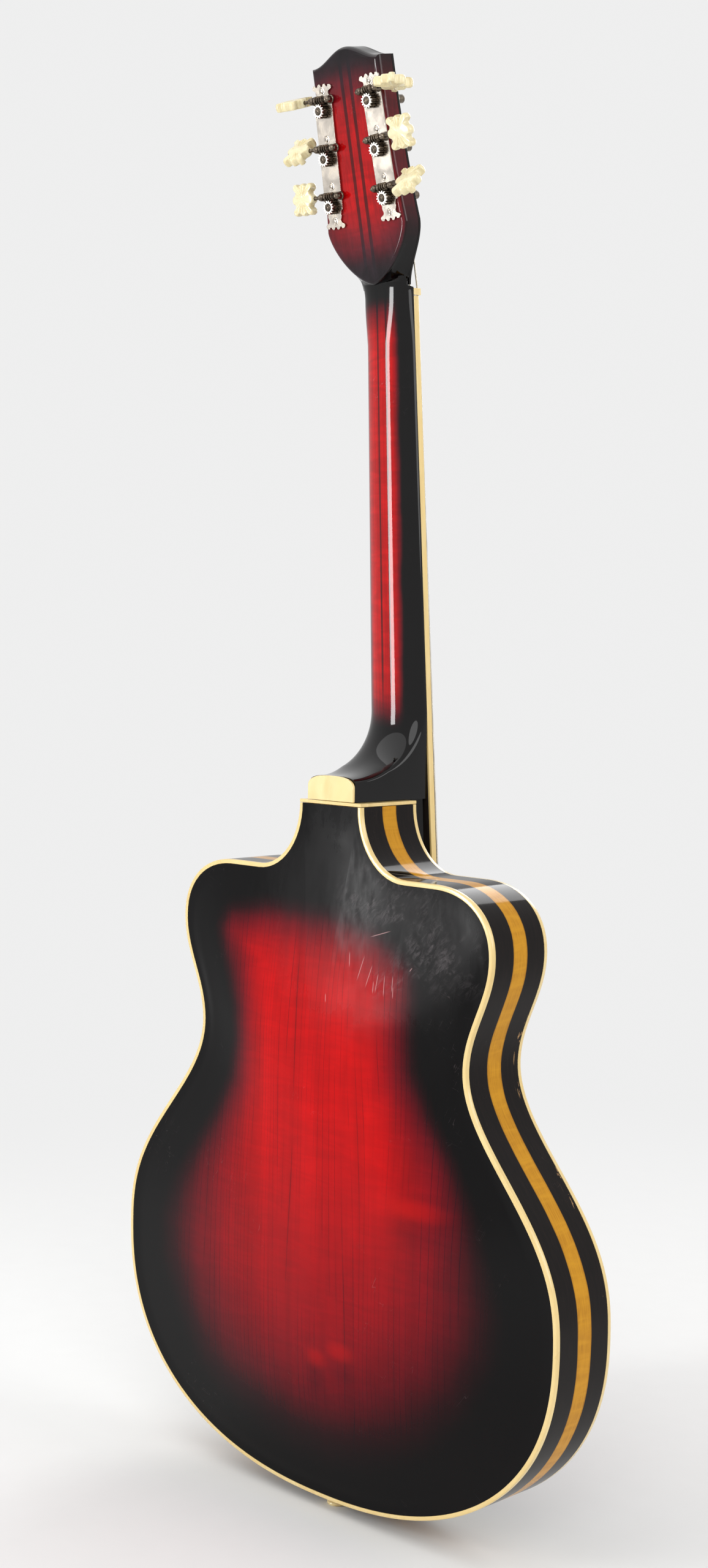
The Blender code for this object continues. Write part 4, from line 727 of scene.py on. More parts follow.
def add_lathe(bm, matrix, profile, sides):
    """A turned solid along the matrix's Z from (distance, radius) pairs. Radius 0 ends it in a point."""
    rings = []
    for along, radius in profile:
        if radius <= 0:
            rings.append([bm.verts.new(matrix @ Vector((0, 0, along)))] * sides)
            continue
        ring = []
        for i in range(sides):
            a = 2 * math.pi * i / sides
            ring.append(bm.verts.new(matrix @ Vector((radius * math.cos(a), radius * math.sin(a), along))))
        rings.append(ring)
    skin(bm, rings)
    for ring in (rings[0], rings[-1]):
        if ring[0] is not ring[1]:
            bm.faces.new(ring)


def lathe(name, profile, sides, places=(Matrix.Identity(4),)):
    """The same turned solid at every place, as one mesh."""
    bm = bmesh.new()
    for place in places:
        add_lathe(bm, place, profile, sides)
    return finish_mesh(bm, name)


def baked(obj):
    """A new mesh of the object with its modifiers, and the object is gone."""
    bpy.context.view_layer.update()
    made = bpy.data.meshes.new_from_object(obj.evaluated_get(bpy.context.evaluated_depsgraph_get()))
    bpy.data.objects.remove(obj, do_unlink=True)
    return made


def cut(mesh, tool, operation="DIFFERENCE"):
    """The Boolean of two meshes as a new mesh."""
    first = placed("first", mesh)
    second = placed("second", tool)
    modifier = first.modifiers.new("cut", "BOOLEAN")
    modifier.operation = operation
    modifier.solver = "EXACT"
    modifier.object = second
    made = baked(first)
    bpy.data.objects.remove(second, do_unlink=True)
    return made


def wire(name, points, radius, sides):
    """A round bar along points, with its ring frames carried along without twist."""
    points = [Vector(p) for p in points]
    rings = []
    up = (points[1] - points[0]).normalized().orthogonal().normalized()
    for i, point in enumerate(points):
        ahead = (points[min(i + 1, len(points) - 1)] - points[max(i - 1, 0)]).normalized()
        up = (up - ahead * up.dot(ahead)).normalized()
        across = ahead.cross(up)
        turns = [2 * math.pi * k / sides for k in range(sides)]
        rings.append([point + (up * math.cos(a) + across * math.sin(a)) * radius for a in turns])
    return loft(name, rings)


def arc(centre, radius, start, end, count):
    """Points of an arc, degrees, both ends included."""
    turns = [math.radians(start + (end - start) * i / count) for i in range(count + 1)]
    return [(centre[0] + radius * math.cos(a), centre[1] + radius * math.sin(a)) for a in turns]


def spaced(points, gap):
    """The points without those that come too close to the one before."""
    kept = [points[0]]
    for point in points[1:]:
        if math.dist(point, kept[-1]) > gap:
            kept.append(point)
    return kept


def arch(half, angle, power):
    """Place across, and share of the height, on the upper half of a superellipse."""
    x = -half * math.copysign(abs(math.cos(angle)) ** (2 / power), math.cos(angle))
    return x, max(math.sin(angle), 0.0) ** (2 / power)


def smooth_rise(t):
    t = min(max(t, 0.0), 1.0)
    return t * t * (3 - 2 * t)


def blend(a, b, share):
    return a + (b - a) * share


def at(x, y, z):
    return Matrix.Translation((x, y, z))


# Frames of the body, the neck and the head, and turns of Z
BODY = at(0, PIN_INSET, PIN_STAND)
NECK = BODY @ at(0, -BOARD_UNDER, BODY_LENGTH) @ Matrix.Rotation(-NECK_TILT, 4, "X")
TURN = Matrix(((-1, 0, 0, 0), (0, 0, 1, 0), (0, 1, 0, 0), (0, 0, 0, 1)))
HEAD_LOCAL = at(0, HEAD_SET, NUT_FROM_JOINT) @ Matrix.Rotation(-HEAD_ANGLE, 4, "X") @ TURN
HEAD = NECK @ HEAD_LOCAL
TO_X = Matrix.Rotation(math.pi / 2, 4, "Y")
TO_Y = Matrix.Rotation(math.radians(-90), 4, "X")


def plate_frame(side):
    """Middle of a tuner plate on the head's back."""
    return at(side * PLATE_X, PLATE_CENTRE, HEAD_THICK) @ Matrix.Rotation(side * PLATE_SLANT, 4, "Z")


def on_plate(index):
    return TUNER_SHIFT + (index - 1) * TUNER_SPACING


def tuner_spot(side, index):
    return plate_frame(side) @ at(0, on_plate(index), 0)


def tuner_of(number):
    return (1, 6 - number) if number > 3 else (-1, number - 1)


# Body
def evenly(line, count):
    """Points at even steps along a line, and its length."""
    steps = np.concatenate([[0.0], np.cumsum(np.linalg.norm(np.diff(line, axis=0), axis=1))])
    wanted = np.linspace(0.0, steps[-1], count)
    return np.stack([np.interp(wanted, steps, column) for column in line.T], axis=1), steps[-1]


def fine_half():
    """Body outline from the bottom centre up to the tab's corner, evenly spaced."""
    lower = np.pi / 2 * np.arange(120) / 120
    waist = np.arange(90) / 90
    upper = np.arange(40) / 40
    shoulder = np.pi / 2 * np.arange(71) / 70
    scoop = np.pi / 2 * np.arange(61) / 60
    to_waist = (1 + np.cos(np.pi * waist**1.25)) / 2
    round_x = np.maximum(np.cos(shoulder), 0) ** SHOULDER_POWER
    round_z = np.sin(shoulder) ** SHOULDER_POWER
    tab_top = BODY_LENGTH - CAP_THICK - SEAM
    parts = (
        (LOWER_HALF * np.sin(lower) ** LOWER_POWER, LOWER_Z * (1 - np.cos(lower) ** LOWER_POWER)),
        (blend(WAIST_HALF, LOWER_HALF, to_waist), blend(LOWER_Z, WAIST_Z, waist)),
        (blend(WAIST_HALF, UPPER_HALF, (1 - np.cos(np.pi * upper)) / 2), blend(WAIST_Z, UPPER_Z, upper)),
        (blend(SHOULDER_X, UPPER_HALF, round_x), blend(UPPER_Z, SHOULDER_Z, round_z)),
        (TAB_HALF + SCOOP_WIDTH * (1 - np.sin(scoop)), blend(tab_top, SHOULDER_Z, np.cos(scoop))),
    )
    return evenly(np.concatenate([np.stack(part, axis=1) for part in parts]), OUTLINE_POINTS)[0]


HALF = fine_half()
OUTLINE = np.concatenate([HALF, HALF[:0:-1] * (-1, 1)])


def inset(points, distance):
    """A closed line moved to its left."""
    line = np.array(points)
    normals = []
    for edge in (line - np.roll(line, 1, axis=0), np.roll(line, -1, axis=0) - line):
        normal = np.stack([-edge[:, 1], edge[:, 0]], axis=1)
        normals.append(normal / np.linalg.norm(normal, axis=1)[:, None])
    middle = normals[0] + normals[1]
    middle /= np.linalg.norm(middle, axis=1)[:, None]
    return line + middle * (distance / np.maximum((middle * normals[0]).sum(axis=1), 0.5))[:, None]


def inner_line(distance):
    """The body outline moved inwards, but not across the tab's end, where a cap closes the plates."""
    moved = inset(OUTLINE, distance)
    top = OUTLINE[:, 1] > OUTLINE[:, 1].max() - 1e-6
    moved[top, 1] = OUTLINE[top, 1]
    return moved


# Red field of the burst: height up the body, its edges on both sides, width of its soft border, depth of red
RED_FIELD = np.array([
    (0.046, -0.012, 0.020, 0.060, 0.20),
    (0.053, -0.045, 0.052, 0.060, 0.26),
    (0.066, -0.072, 0.094, 0.060, 0.34),
    (0.080, -0.095, 0.115, 0.060, 0.40),
    (0.110, -0.126, 0.135, 0.060, 0.48),
    (0.145, -0.144, 0.152, 0.064, 0.56),
    (0.170, -0.146, 0.152, 0.064, 0.64),
    (0.200, -0.139, 0.141, 0.056, 0.74),
    (0.230, -0.132, 0.123, 0.044, 0.86),
    (0.260, -0.119, 0.104, 0.034, 0.95),
    (0.290, -0.098, 0.089, 0.030, 1.00),
    (0.320, -0.084, 0.083, 0.028, 1.00),
    (0.345, -0.082, 0.084, 0.028, 0.96),
    (0.370, -0.084, 0.092, 0.030, 0.90),
    (0.388, -0.082, 0.101, 0.028, 0.84),
    (0.400, -0.066, 0.106, 0.026, 0.78),
    (0.411, -0.044, 0.098, 0.026, 0.70),
    (0.419, -0.010, 0.060, 0.026, 0.60),
])
FAR = 9.0


def burst_field(x, z):
    """How red each point is: full inside, nothing outside, with a soft border that follows the hourglass."""
    heights, left, right, soft, depth = RED_FIELD.T
    ring = np.concatenate([np.stack([right, heights], axis=1), np.stack([left, heights], axis=1)[::-1]])
    inside = x > np.interp(z, heights, left, left=FAR, right=FAR)
    inside &= x < np.interp(z, heights, right, left=-FAR, right=-FAR)
    near = np.full(x.shape, FAR)
    for p, q in zip(ring, np.roll(ring, -1, axis=0)):
        d = q - p
        t = np.clip(((x - p[0]) * d[0] + (z - p[1]) * d[1]) / (d @ d), 0, 1)
        near = np.minimum(near, np.hypot(x - p[0] - t * d[0], z - p[1] - t * d[1]))
    t = np.clip(0.24 + 0.52 * np.where(inside, near, -near) / np.interp(z, heights, soft), 0, 1)
    return t * t * (3 - 2 * t) * np.interp(z, heights, depth)


def by_parts(function, x, z):
    """A function of every point, worked out for a few hundred at a time to spare memory."""
    size = 500
    starts = range(0, len(x), size)
    return np.concatenate([function(x[i : i + size, None], z[i : i + size, None]) for i in starts])


def edge_reach(x, z):
    """A smooth measure of the distance from the body outline, for points inside it."""
    count = 2400
    rim, length = evenly(np.concatenate([OUTLINE, OUTLINE[:1]]), count + 1)
    rim = rim[:-1]

    def reach(x, z):
        apart = (x - rim[:, 0]) ** 2 + (z - rim[:, 1]) ** 2
        return 1 / np.sqrt((apart**-1.5).sum(axis=1) * length / count / 2)

    return by_parts(reach, x, z)


def carved_rise(node, facing, x, z, reach):
    """Height of a carved plate over its edge: the solid's plate with its facets smoothed away."""
    grid = 0.0065
    spread = 0.014
    widest = 0.12
    run_in = 0.012
    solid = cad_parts[node]
    tree = BVHTree.FromObject(solid, bpy.context.evaluated_depsgraph_get())
    to_solid = solid.matrix_world.inverted() @ BODY
    ahead = (to_solid.to_3x3() @ Vector((0, -facing, 0))).normalized()
    edge = 0.0 if facing > 0 else -RIM_DEPTH
    seen = []
    for across in np.arange(-LOWER_HALF, LOWER_HALF, grid):
        for up in np.arange(0.0, BODY_LENGTH, grid):
            hit = tree.ray_cast(to_solid @ Vector((across, facing * 0.5, up)), ahead)[0]
            if hit is not None:
                rise = facing * ((to_solid.inverted() @ hit).y - edge)
                if rise > -0.0002:
                    seen.append((across, up, rise))
    seen_x, seen_z, seen_rise = np.array(seen).T
    powers = np.arange(2, 7)
    far = (edge_reach(seen_x, seen_z)[:, None] / widest) ** powers
    shape = np.linalg.lstsq(far, seen_rise, rcond=None)[0]
    left = seen_rise - far @ shape

    def mended(x, z):
        weight = np.exp(-((x - seen_x) ** 2 + (z - seen_z) ** 2) / (2 * spread**2))
        return (weight * left).sum(axis=1) / weight.sum(axis=1)

    rise = ((reach[:, None] / widest) ** powers) @ shape + by_parts(mended, x, z)
    margin = np.clip((reach - BINDING_WIDTH) / run_in, 0, 1)
    return np.maximum(rise, 0.0) * margin * margin * (3 - 2 * margin)


def plate_mesh(name, node, facing):
    """Carved plate, on rings that close in on the body's spine, with the burst painted on its points."""
    edge = inner_line(BINDING_WIDTH + SEAM)
    rings = [edge]
    for i in range(PLATE_RINGS):
        share = blend(FIRST_RING, 1.0, (i / (PLATE_RINGS - 1)) ** RING_POWER)
        along = SPINE_Z + (edge[:, 1] - SPINE_Z) * (1 - share * (1 - SPINE_SHARE))
        rings.append(np.stack([edge[:, 0] * (1 - share), along], axis=1))
    x, z = np.concatenate(rings).T
    rise = carved_rise(node, facing, x, z, edge_reach(x, z))
    rise[: len(edge)] = 0.0
    base = 0.0 if facing > 0 else -RIM_DEPTH
    bm = bmesh.new()
    burst = bm.verts.layers.float.new("burst")
    points = [bm.verts.new(point) for point in zip(x, base + facing * rise, z)]
    for vertex, red in zip(points, burst_field(x, z)):
        vertex[burst] = red
    skin(bm, [points[i : i + len(edge)] for i in range(0, len(points), len(edge))])
    bmesh.ops.remove_doubles(bm, verts=bm.verts, dist=1e-5)
    bmesh.ops.recalc_face_normals(bm, faces=bm.faces)
    if sum(face.normal.y * face.calc_area() for face in bm.faces) * facing < 0:
        bmesh.ops.reverse_faces(bm, faces=bm.faces)
    mesh = bpy.data.meshes.new(name)
    bm.to_mesh(mesh)
    bm.free()
    obj = placed("shell", mesh)
    shell = obj.modifiers.new("thickness", "SOLIDIFY")
    shell.thickness = PLATE_THICK
    shell.offset = -1
    return baked(obj)


def band(name, profile):
    """A hoop round the body from (inset, y) pairs."""
    bm = bmesh.new()
    rings = [[bm.verts.new((x, y, z)) for x, z in inner_line(distance)] for distance, y in profile]
    skin(bm, rings + [rings[0]])
    return finish_mesh(bm, name)


def f_slot_tool():
    """The S-shaped slots of both sound holes."""
    bm = bmesh.new()
    steps = 28
    for side in (-1, 1):
        left, right = [], []
        for i in range(steps + 1):
            t = i / steps
            x = F_CENTRE_X - F_LEAN * (t - 0.5) * 2 + F_SWAY * math.sin(2 * math.pi * t)
            z = F_CENTRE_Z + (t - 0.5) * F_LENGTH
            width = F_WIDTH * (1 - F_TAPER * math.cos(math.pi * t) ** 2)
            left.append((side * (x - width / 2), z))
            right.append((side * (x + width / 2), z))
        add_loft(bm, [[(x, y, z) for x, z in left + right[::-1]] for y in (F_FRONT, F_BACK)])
    return finish_mesh(bm, "f slots")


def f_eye_tool():
    """The round eyes at the slots' ends."""
    places = []
    for side in (-1, 1):
        for end in (-1, 1):
            x = side * (F_CENTRE_X - end * (F_LEAN - F_EYE * 0.6))
            places.append(at(x, F_FRONT, F_CENTRE_Z + end * (F_LENGTH / 2)) @ TO_Y)
    return lathe("f eyes", [(0.0, F_EYE), (F_BACK - F_FRONT, F_EYE)], 32, places)


def body_pieces():
    back = plate_mesh("back_carved", "back_plate", 1)
    show("back_carved", back, BODY, "back", ["back_plate"], 50)
    top = cut(cut(plate_mesh("top_carved", "top_plate", -1), f_slot_tool()), f_eye_tool())
    show("top_carved", top, BODY, "top", ["top_plate"], 50)
    low = -RIM_DEPTH + BINDING_HEIGHT + SEAM
    high = -BINDING_HEIGHT - SEAM
    rim = band("rim_fine", [(0.0, low), (0.0, high), (RIM_THICK, high), (RIM_THICK, low)])
    show("rim_fine", rim, BODY, "rim", ["rim"], 40)
    r = BINDING_ROUND
    for label, outer, sign in (("back", 0.0, 1), ("top", -RIM_DEPTH, -1)):
        profile = [(0.0, BINDING_HEIGHT), (0.0, r), (r * 0.3, r * 0.3), (r, 0.0)]
        profile += [(BINDING_WIDTH, 0.0), (BINDING_WIDTH, BINDING_HEIGHT)]
        mesh = band(f"{label}_binding_fine", [(inward, outer - sign * down) for inward, down in profile])
        show(f"{label}_binding_fine", mesh, BODY, "binding", [f"{label}_binding"], 60)
    low = (-TAB_HALF, -RIM_DEPTH, BODY_LENGTH - CAP_THICK)
    cap = block("shoulder_cap_fine", low, (TAB_HALF, 0.0, BODY_LENGTH))
    show("shoulder_cap_fine", cap, BODY, "binding", ["shoulder_cap"], bevel=0.0004)
    for node in ("neck_block", "end_block", "back_lining", "top_lining", "tone_bar_bass", "tone_bar_treble"):
        dress(node, "spruce")


# Neck
def fret(number):
    """Distance of a fret from the body joint, up the neck."""
    return NUT_FROM_JOINT - SCALE_LENGTH * (1 - 2 ** (-number / 12))


BOARD_END = fret(FRET_COUNT) - BOARD_OVERHANG


def board_half(along):
    return blend(JOINT_HALF, NUT_HALF, along / NUT_FROM_JOINT)


def board_crown(x, half):
    return math.sqrt(max(BOARD_RADIUS**2 - x**2, 0.0)) - math.sqrt(BOARD_RADIUS**2 - half**2)


def head_half(past):
    """Half the head's width, by the distance past the nut's front."""
    return blend(NUT_HALF, HEAD_LOW_HALF, smooth_rise((past - 0.004) / (HEAD_WIDEST - 0.004)))


def neck_section(half, depth, along, power, front=0.0):
    """Flat front and a back that swells from a half ellipse (power 2) to a squarer arch."""
    section = [arch(half, math.pi * i / NECK_SIDES, power) for i in range(NECK_SIDES + 1)]
    return [Vector((x, max(depth * share, front), along)) for x, share in section]


def shaft_depth(along):
    return blend(NECK_DEPTH_NUT, NECK_DEPTH_JOINT, 1 - along / NUT_FROM_JOINT)


def shaft_rings(start):
    """Sections from inside the head down to the heel."""
    rings = []
    lift = NUT_THICK + 2 * SEAM
    slope = math.tan(HEAD_ANGLE)
    for past in (NECK_BLEND, 0.028, 0.022, 0.017, 0.0125, 0.009, lift + 0.0010, lift, 0.003, 0.001):
        t = past / NECK_BLEND
        front = HEAD_SET + VENEER_THICK + 4 * SEAM + past * slope if past > lift else 0.0
        full = HEAD_SET + past * slope + HEAD_THICK / math.cos(HEAD_ANGLE) - 0.0006
        depth = blend(NECK_DEPTH_NUT, full, smooth_rise(t))
        along = NUT_FROM_JOINT + past
        rings.append(neck_section(head_half(past) - 0.0003 * t, depth, along, 3.0 + 1.2 * t, front))
    below = [NUT_FROM_JOINT - d for d in (0.0, 0.005, 0.010, 0.016, 0.024, 0.032)]
    for along in [*below, *np.linspace(NUT_FROM_JOINT - 0.042, start + 0.006, 12)]:
        power = 2 + smooth_rise((along - NUT_FROM_JOINT + 0.036) / 0.036)
        rings.append(neck_section(min(board_half(along), JOINT_HALF), shaft_depth(along), along, power))
    return rings


def heel_rings(start):
    """Sections that turn about a point in front of the heel, from the shaft to the body's tab."""
    to_neck = NECK.inverted() @ BODY
    centre = Vector((0, -HEEL_CAP_THICK - SEAM, HEEL_CENTRE_Z))
    slope = math.tan(NECK_TILT)
    board_y = BOARD_UNDER + centre.y - (HEEL_CENTRE_Z - BODY_LENGTH) * slope
    face = HEEL_CENTRE_Z - BODY_LENGTH - SEAM
    depth = shaft_depth(start)
    corner = math.degrees(math.atan2(face, board_y + slope * face))
    rings = []
    for angle in [*np.linspace(0, corner, 18), *np.linspace(corner, 90, 22)[1:]]:
        a = math.radians(angle)
        t = smooth_rise(angle / 90)
        crest = blend(board_y - depth, HEEL_CREST, t)
        fall = blend(depth, HEEL_ROUND, min(1.0, t * 1.6))
        half = blend(board_half(start), HEEL_HALF, angle / 90)
        reach = board_y / (math.cos(a) - slope * math.sin(a))
        if angle > corner - 0.001:
            reach = face / math.sin(a)
        ring = []
        for i in range(NECK_SIDES + 1):
            x, share = arch(half, math.pi * i / NECK_SIDES, blend(2, HEEL_POWER, t))
            radius = reach if i in (0, NECK_SIDES) else crest + fall * (1 - share)
            ring.append(to_neck @ (centre + Vector((x, -math.cos(a) * radius, -math.sin(a) * radius))))
        rings.append(ring)
    return rings


def head_outline(back):
    """Peghead from above: crowned top, curved flanks, and a tongue at the back or the nut's width."""
    half = []
    for i in range(24):
        x = CROWN_HALF * i / 24
        half.append((x, HEAD_LENGTH + CROWN_RISE * math.cos(math.pi / 2 * x / CROWN_HALF) ** 2))
    for i in range(12):
        t = i / 12
        half.append((blend(HEAD_TOP_HALF, HEAD_LOW_HALF, t**2.2), blend(HEAD_LENGTH, HEAD_WIDEST, t)))
    for i in range(41):
        t = i / 40
        if back:
            x, share = arch(-HEAD_LOW_HALF, math.pi / 2 * t, TONGUE_POWER)
            half.append((x, HEAD_WIDEST - TONGUE_LENGTH * share))
        elif t < 0.8:
            y = HEAD_WIDEST * (1 - t / 0.8) + 0.0003
            half.append((head_half(y), y))
        else:
            half.append((NUT_HALF * (1 - (t - 0.8) / 0.2), 0.0003))
    return half + [(-x, y) for x, y in half[-2:0:-1]]


def post_hole_tool():
    places = [tuner_spot(side, index) for side in (-1, 1) for index in range(3)]
    return lathe("holes", [(-HEAD_THICK - 0.01, POST_HOLE), (0.01, POST_HOLE)], 28, places)


def head_block():
    """The head behind its facing, from the front's outline to the tongue, with a rounded back edge."""
    front = [(x, max(y, BLOCK_FOOT)) for x, y in head_outline(False)]
    back = head_outline(True)
    low = VENEER_THICK + SEAM
    layers = []
    for share in (0.0, 0.35, 0.7):
        line = [(blend(a[0], b[0], share), blend(a[1], b[1], share)) for a, b in zip(front, back)]
        layers.append((line, blend(low, HEAD_THICK - HEAD_ROUND, share)))
    for k in range(8):
        a = math.pi / 2 * k / 7
        line = inset(back[::-1], HEAD_ROUND * (1 - math.cos(a)))[::-1] if k else back
        layers.append((line, HEAD_THICK - HEAD_ROUND * (1 - math.sin(a))))
    sections = [[HEAD_LOCAL @ Vector((x, y, level)) for x, y in line] for line, level in layers]
    return loft("head block", sections)


def extension():
    """The neck's wood under the board's end, over the body."""
    half = EXTENSION_HALF
    low_half = half * 0.8
    rings = []
    for along, top, share in ((BOARD_END + 0.004, 0.0, 0.55), (-0.0006, 0.0, 1.0), (0.012, 0.0008, 1.0)):
        deep = top + EXTENSION_DEPTH * share
        corners = ((-half, top), (half, top), (low_half, deep), (-low_half, deep))
        rings.append([(x, y, along) for x, y in corners])
    return loft("extension", rings)


def heel_cap():
    sides = 48
    side_round = 1.7 * HEEL_ROUND
    points = [(-HEEL_HALF, BODY_LENGTH + SEAM)]
    for i in range(1, sides):
        x, share = arch(HEEL_HALF, math.pi * i / sides, HEEL_POWER)
        points.append((x, HEEL_CENTRE_Z - HEEL_CREST - side_round * (1 - share)))
    points.append((HEEL_HALF, BODY_LENGTH + SEAM))
    return prism("heel_cap_fine", points, -HEEL_CAP_THICK, 0.0, 1)


def neck_pieces():
    start = (HEEL_CENTRE_Z - BODY_LENGTH) / math.cos(NECK_TILT)
    wood = cut(loft("neck_fine", shaft_rings(start) + heel_rings(start)), head_block(), "UNION")
    wood = cut(wood, extension(), "UNION")
    holes = post_hole_tool()
    holes.transform(HEAD_LOCAL)
    show("neck_fine", cut(wood, holes), NECK, "neck", ["neck"], 38)
    show("heel_cap_fine", heel_cap(), BODY, "cap", ["heel_cap"], bevel=0.0004)
    line = [(x, max(y, NUT_THICK + 0.0022)) for x, y in head_outline(False)]
    facing = cut(prism("head_facing", line, 0.0, VENEER_THICK, merge=1e-4), post_hole_tool())
    show("head_facing", facing, HEAD, "black", ["head_veneer"], bevel=0.0003)


def across_board(along, inset_by):
    """Points across the crowned board's top."""
    half = board_half(along)
    inner = half - BOARD_BINDING - inset_by
    places = [-inner + 2 * inner * i / BOARD_STEPS for i in range(BOARD_STEPS + 1)]
    return [(x, -BOARD_EDGE - board_crown(x, half)) for x in places]


def board_pieces():
    sections = []
    for along in (BOARD_END, NUT_FROM_JOINT - SEAM):
        top = across_board(along, SEAM)
        sections.append([(x, y, along) for x, y in [(top[-1][0], -SEAM), (top[0][0], -SEAM)] + top])
    show("board_wood", loft("board_wood", sections), NECK, "ebony", ["fretboard"])
    bm = bmesh.new()
    for number in range(FRET_COUNT + 1):
        along = fret(number) - (0.0 if number else FRET_WIDTH)
        rings = []
        for i, (x, base) in enumerate(across_board(along, SEAM + 0.0003)):
            crown = FRET_CROWN * (0.45 if i in (0, BOARD_STEPS) else 1)
            turns = [math.pi * k / 6 for k in range(7)]
            ring = [(x, base - crown * math.sin(a), along - FRET_WIDTH / 2 * math.cos(a)) for a in turns]
            foot = [(x, base + 0.0004, along + out * FRET_WIDTH / 2) for out in (-1, 1)]
            rings.append([foot[0], *ring, foot[1]])
        add_loft(bm, rings)
    show("fret_wires", finish_mesh(bm, "fret_wires"), NECK, "nickel", ["fretboard"], 50)
    places = []
    for number, x in ((3, 0.0), (5, 0.0), (7, 0.0), (9, 0.0), (12, -0.0085), (12, 0.0085), (15, 0.0)):
        along = (fret(number) + fret(number - 1)) / 2
        level = -BOARD_EDGE - board_crown(x, board_half(along)) - 0.00006
        places.append(at(x, level, along) @ TO_Y)
    dots = lathe("position_dots", [(0.0, 0.0026), (0.0005, 0.0026)], 28, places)
    show("position_dots", dots, NECK, "pearl", [])
    for side in ("bass", "treble"):
        dress(f"board_binding_{side}", "binding", 0.0003)
    dress("nut", "cap", 0.0003)


# Tuners
def plate_outline():
    """Tuner plate: straight strip, a waist under each end and a scalloped fan at the tip."""
    half = TUNER_PLATE_WIDTH / 2
    end = TUNER_PLATE_LENGTH / 2
    corner = [(half, end - 0.0136)]
    corner += arc((half, end - 0.0118), 0.0016, -90, -180, 5)
    corner += arc((half - 0.0032, end - 0.0089), 0.0014, -40, 40, 4)
    corner += arc((half - 0.0004, end - 0.0060), 0.0023, 222, 138, 6)
    corner += arc((half - 0.0012, end - 0.0024), 0.0019, -30, 100, 8)
    corner += arc((half - 0.0034, end - 0.0008), 0.0010, 20, -160, 6)
    corner += arc((half - 0.0060, end - 0.0012), 0.0014, 30, 150, 6)
    corner += arc((half - 0.0084, end - 0.0006), 0.0011, 0, -90, 5)
    kept = spaced([point for point in corner if point[0] >= -1e-9], 0.0001)
    upper = kept + [(-x, y) for x, y in kept[::-1] if x > 1e-6]
    return upper + [(-x, -y) for x, y in upper]


def gear_mesh():
    """Wheel with rounded spur teeth, a gap on local +Y, chamfered ends and a shallow dish round its screw."""
    flank = ((GEAR_ROOT, 0.30), (GEAR_ROOT + 0.0004, 0.235), (GEAR_TIP - 0.0002, 0.155), (GEAR_TIP, 0.09))
    tooth = [(radius, -share) for radius, share in flank] + list(flank[::-1])
    pitch = 2 * math.pi / GEAR_TEETH
    points = []
    for number in range(GEAR_TEETH):
        for radius, share in tooth:
            angle = math.pi / 2 + pitch * (number + 0.5 + share)
            points.append((radius * math.cos(angle), radius * math.sin(angle)))
    half = GEAR_FACE / 2
    levels = ((-half, 0.95), (-half + 0.0004, 1.0), (half - 0.0004, 1.0), (half, 0.95))
    mesh = loft("gear", [[(x * grow, y * grow, level) for x, y in points] for level, grow in levels])
    profile = [(-half - 0.001, POST_STUB + SEAM), (half - 0.0006, POST_STUB + SEAM)]
    profile += [(half - 0.0003, POST_STUB + 0.0011), (half + 0.001, POST_STUB + 0.0013)]
    return cut(mesh, lathe("bore", profile, 32))


def worm_mesh():
    """Shaft, core, collars and a continuous rounded thread, crest on local -Y at the middle."""
    steps = 28
    count = round((WORM_LENGTH / WORM_LEAD - 0.4) * steps)
    bm = bmesh.new()
    core = WORM_LENGTH / 2
    outer = -BEARING_OUT - BEARING_RADIUS
    profile = [(outer - 0.0008, SHAFT_RADIUS * 0.6), (outer - 0.0006, SHAFT_RADIUS), (-core, SHAFT_RADIUS)]
    profile += [(-core, WORM_CORE), (core, WORM_CORE), (core, SHAFT_RADIUS)]
    profile += [(BUTTON_OUT + 0.004, SHAFT_RADIUS)]
    add_lathe(bm, TO_X, profile, 24)
    root = WORM_CORE - 0.0003
    rise = ((-0.00050, 0.0), (-0.00030, 0.62), (-0.00016, 0.93))
    thread = [*rise, (0.0, 1.0), *((-side, share) for side, share in rise[::-1])]
    rings = []
    for i in range(count + 1):
        turns = (i - count / 2) / steps
        angle = 2 * math.pi * turns
        fade = min(1.0, 0.1 + i / 16, 0.1 + (count - i) / 16)
        ring = []
        for side, share in thread:
            radius = root + (WORM_CORE - root + (WORM_RADIUS - WORM_CORE) * fade) * share
            ring.append((WORM_LEAD * turns + side, -radius * math.cos(angle), -radius * math.sin(angle)))
        rings.append(ring)
    add_loft(bm, rings)
    return finish_mesh(bm, "worm")


def button_outline():
    """Three lobes at each end, a round scoop on each flank and a bulge where the shaft enters."""
    quarter = [(0.0103, 0.0)]
    quarter += arc((0.0068, 0.0), 0.0035, 12, 58, 5)
    quarter += arc((0.0096, 0.0053), 0.0027, 258, 132, 9)
    quarter += arc((0.0071, 0.0087), 0.0024, -18, 118, 9)
    quarter += arc((0.0040, 0.0105), 0.0012, -20, -150, 5)
    quarter += arc((0.0, 0.0088), 0.0025, 38, 90, 6)
    kept = spaced(quarter, 0.00015)
    kept[-1] = (0.0, 0.0113)
    upper = kept + [(-x, y) for x, y in kept[-2::-1]]
    return upper + [(x, -y) for x, y in upper[-2:0:-1]]


GROOVES = ((0, 0.0005, 0.0007), (19, 0.0009, 0.0009), (37, 0.0006, 0.0008))  # degrees, depth, width


def groove_depth(x, y):
    """Depth of the grooves that fan out over a button's face."""
    lean = math.atan2(abs(x), abs(y))
    deep = 0.0
    for angle, depth, width in GROOVES:
        away = math.hypot(x, y) * abs(math.sin(lean - math.radians(angle)))
        deep = max(deep, depth * max(0.0, 1 - away / width))
    return deep * smooth_rise((abs(y) - 0.0014) / 0.0035)


